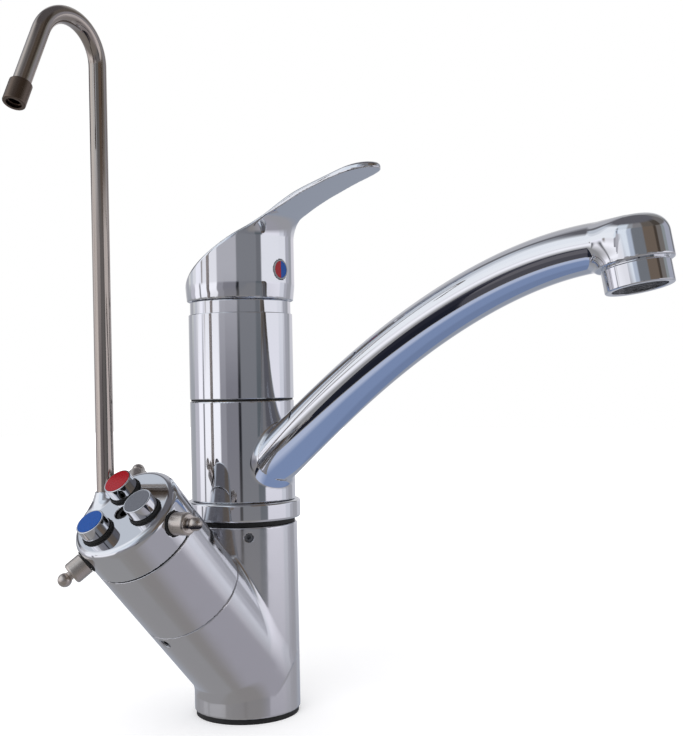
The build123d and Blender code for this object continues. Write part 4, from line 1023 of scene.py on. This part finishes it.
ground = bands(tree, round_share.outputs[0], -180, 180, [
    (-180, "#969aa3"), (-150, "#8b8a8b"), (-50, "#858382"), (-10, "#83807f"), (45, "#95939a"),
    (100, "#939296"), (145, "#8b909b")], 24.0)
low_walls = bands(tree, round_share.outputs[0], -180, 180, [
    (-180, "#a9a9ac"), (-150, "#999ba0"), (-122, "#b4b2ba"), (-105, "#f0eef4"), (-90, "#67676c"),
    (-86, "#f0eff4"), (-44, "#8a8990"), (-30, "#77767d"), (-3, "#232428"), (3, "#717277"),
    (38, "#565b60"), (54, "#dcdae2"), (98, "#c9cad2"), (112, "#a6a6ae"), (122, "#97979d"),
    (142, "#bcbcc2")], 2.0)
high_walls = bands(tree, round_share.outputs[0], -180, 180, [
    (-180, "#b9b9bd"), (-150, "#a2a1a6"), (-131, "#cccdcb"), (-122, "#b9bbc1"), (-112, "#d4d4d8"),
    (-100, "#e8e7ef"), (-84, "#8a8583"), (-80, "#dcdbe0"), (-44, "#a9a8ae"), (-2, "#77787d"),
    (40, "#696a6f"), (51, "#dadae0"), (95, "#d8d8de"), (118, "#a2a2aa"), (132, "#939499"),
    (145, "#c9c6cc")], 2.0)
low_ceiling = bands(tree, round_share.outputs[0], -180, 180, [
    (-180, "#b8b8bc"), (-158, "#9c9ca0"), (-144, "#58585d"), (-114, "#b6b5ba"), (-104, "#e4e6ea"),
    (-62, "#d6dce4"), (-27, "#aab2c0"), (-14, "#6c6f74"), (20, "#665a50"), (56, "#423a33"),
    (66, "#6c6764"), (86, "#858a8c"), (100, "#9a9ca8"), (130, "#6e6f72"), (146, "#bcbcbf")], 4.0)
high_ceiling = bands(tree, round_share.outputs[0], -180, 180, [
    (-180, "#a8a8ad"), (-150, "#68686d"), (-133, "#b7bcc4"), (-112, "#ced1d7"), (-100, "#e0e3e8"),
    (-60, "#c9d0d8"), (-27, "#8e9094"), (-10, "#7a787a"), (20, "#5c554f"), (60, "#46403b"),
    (90, "#6a6766"), (130, "#858585"), (150, "#aaaaac")], 6.0)
dim = node(tree, "ShaderNodeRGB")
dim.outputs[0].default_value = srgb("#5c5b60")
room_colour = above(tree, ground.outputs[0], low_walls.outputs[0], -18, -3)
room_colour = above(tree, room_colour, high_walls.outputs[0], 0, 6)
room_colour = above(tree, room_colour, low_ceiling.outputs[0], 8, 11)
room_colour = above(tree, room_colour, high_ceiling.outputs[0], 26, 30)
room_colour = above(tree, room_colour, dim.outputs[0], 48, 60)
rays = node(tree, "ShaderNodeLightPath")
room = node(tree, "ShaderNodeBackground", {"Strength": MIRROR_GAIN}, {"Color": room_colour})
even = node(tree, "ShaderNodeBackground", {"Color": (1, 1, 1, 1), "Strength": 0.8})
white = node(tree, "ShaderNodeBackground", {"Color": (1, 1, 1, 1), "Strength": 1.0})
soft_light = node(tree, "ShaderNodeMixShader", None,
                  {0: rays.outputs["Is Glossy Ray"], 1: even.outputs[0], 2: room.outputs[0]})
all_rays = node(tree, "ShaderNodeMixShader", None,
                {0: rays.outputs["Is Camera Ray"], 1: soft_light.outputs[0], 2: white.outputs[0]})
node(tree, "ShaderNodeOutputWorld", None, {0: all_rays.outputs[0]})

# ---------------------------------------------------------------- painted reflections under the spout
# Glowing sheets of blue, black and grey under the spout, which the camera, diffuse light and shadows never
# meet:
# they are painted reflections. Only the chrome close above mirrors them, and only when it looks down at them
# steeply enough, which gives the spout its blue and black bands.

REFLECTION_SHEET_HEIGHT = 100.0
reflection_sheets = {
    "blue_painted_reflection": [(-46, -170), (105, -170), (105, -26), (-46, -26)],
    "black_painted_reflection": [(-300, -78), (-130, -106), (-50, -126), (-50, -30), (-150, -44), (-300, -50)],
    "grey_painted_reflection": [(-50, -205), (-50, -126), (-130, -106), (-230, -88), (-150, -205)],
}
for name, corners in reflection_sheets.items():
    reach = 0.15 if name == "blue_painted_reflection" else 0.6        # how far off the chrome may be, in metres
    reflection_sheet = sheet_of(name, corners, REFLECTION_SHEET_HEIGHT)
    reflection_paint = bpy.data.materials.new(name + "_paper")
    reflection_paint.use_nodes = True
    tree = reflection_paint.node_tree
    tree.nodes.clear()
    spot = node(tree, "ShaderNodeTexCoord")
    across = node(tree, "ShaderNodeSeparateXYZ", None, {0: spot.outputs["Object"]})
    shade = node(tree, "ShaderNodeMapRange", {"From Min": -0.3, "From Max": 0.1},
                 {"Value": across.outputs[0]})
    if name == "blue_painted_reflection":
        reflection_colours = [(-300, "#a9b2c8"), (-22, "#7686a7"), (30, "#6c7b9a")]
    elif name == "black_painted_reflection":
        reflection_colours = [(-300, "#3c3c45"), (-180, "#24252e"), (-100, "#1c1e28")]
    else:
        reflection_colours = [(-300, "#5d5b60"), (-110, "#48474d")]
    reflection_ramp = bands(tree, shade.outputs[0], -300, 100, reflection_colours, 14.0)
    # Each sheet glows: its colour is a painted reflection, which only mirror rays see.
    reflection_glow = node(tree, "ShaderNodeEmission", {"Strength": MIRROR_GAIN}, {"Color": reflection_ramp.outputs[0]})
    clear = node(tree, "ShaderNodeBsdfTransparent")
    side = node(tree, "ShaderNodeNewGeometry")
    glance = node(tree, "ShaderNodeLayerWeight", {"Blend": 0.5})
    path = node(tree, "ShaderNodeLightPath")
    flat_on = node(tree, "ShaderNodeMath", {"operation": "GREATER_THAN", 1: 0.70},
                   {0: glance.outputs["Facing"]})
    far_off = node(tree, "ShaderNodeMath", {"operation": "GREATER_THAN", 1: reach},
                   {0: path.outputs["Ray Length"]})
    either = node(tree, "ShaderNodeMath", {"operation": "MAXIMUM"},
                  {0: flat_on.outputs[0], 1: far_off.outputs[0]})
    hidden = node(tree, "ShaderNodeMath", {"operation": "MAXIMUM"},
                  {0: either.outputs[0], 1: side.outputs["Backfacing"]})
    one_side = node(tree, "ShaderNodeMixShader", None,
                    {0: hidden.outputs[0], 1: reflection_glow.outputs[0], 2: clear.outputs[0]})
    node(tree, "ShaderNodeOutputMaterial", None, {0: one_side.outputs[0]})
    reflection_sheet.data.materials.append(reflection_paint)
    reflection_sheet.visible_camera = reflection_sheet.visible_diffuse = reflection_sheet.visible_shadow = reflection_sheet.visible_transmission = False

# ---------------------------------------------------------------- lamp
# One large soft lamp from the upper left, which casts the shadow and lights the plastic parts.

lamp_data = bpy.data.lights.new("key", "AREA")
lamp_data.energy = 6.0
lamp_data.size = 0.8
lamp = bpy.data.objects.new("key", lamp_data)
bpy.context.scene.collection.objects.link(lamp)
lamp.location = (-0.9, -0.3, 1.2)
lamp.rotation_euler = (Vector((0, 0, 0.12)) - lamp.location).to_track_quat("-Z", "Y").to_euler()
lamp.visible_glossy = False

# ---------------------------------------------------------------- camera
# The camera of the photograph: level, with a small roll, its horizon a little below the middle.

FOCAL_PIXELS = 1123.0
IMAGE_WIDTH, IMAGE_HEIGHT = 683.0, 736.0
HORIZON_ROW = 388.0
SENSOR = 36.0
CAMERA_PLACE = (-407.8, -381.2, 159.4)
CAMERA_ROLL = radians(1.1)
PLUMB_COLUMN = 241.9            # pixel column of the body, which the roll turns about
CAMERA_HEADING = radians(38.0)
camera_data = bpy.data.cameras.new("camera")
camera_data.sensor_width = SENSOR
camera_data.sensor_fit = "HORIZONTAL"
camera_data.lens = SENSOR * FOCAL_PIXELS / IMAGE_WIDTH
off_x = PLUMB_COLUMN - IMAGE_WIDTH / 2
camera_data.shift_y = (HORIZON_ROW - IMAGE_HEIGHT / 2 + off_x * CAMERA_ROLL) / IMAGE_WIDTH
camera = bpy.data.objects.new("camera", camera_data)
bpy.context.scene.collection.objects.link(camera)
forward = Vector((cos(CAMERA_HEADING), sin(CAMERA_HEADING), 0))
aim = forward.to_track_quat("-Z", "Y").to_matrix()
camera.location = Vector(CAMERA_PLACE) * MM
camera.rotation_euler = (aim @ Matrix.Rotation(-CAMERA_ROLL, 3, "Z")).to_euler()
camera_data.clip_start = 0.01
bpy.context.scene.camera = camera
bpy.context.scene.view_settings.view_transform = "Standard"
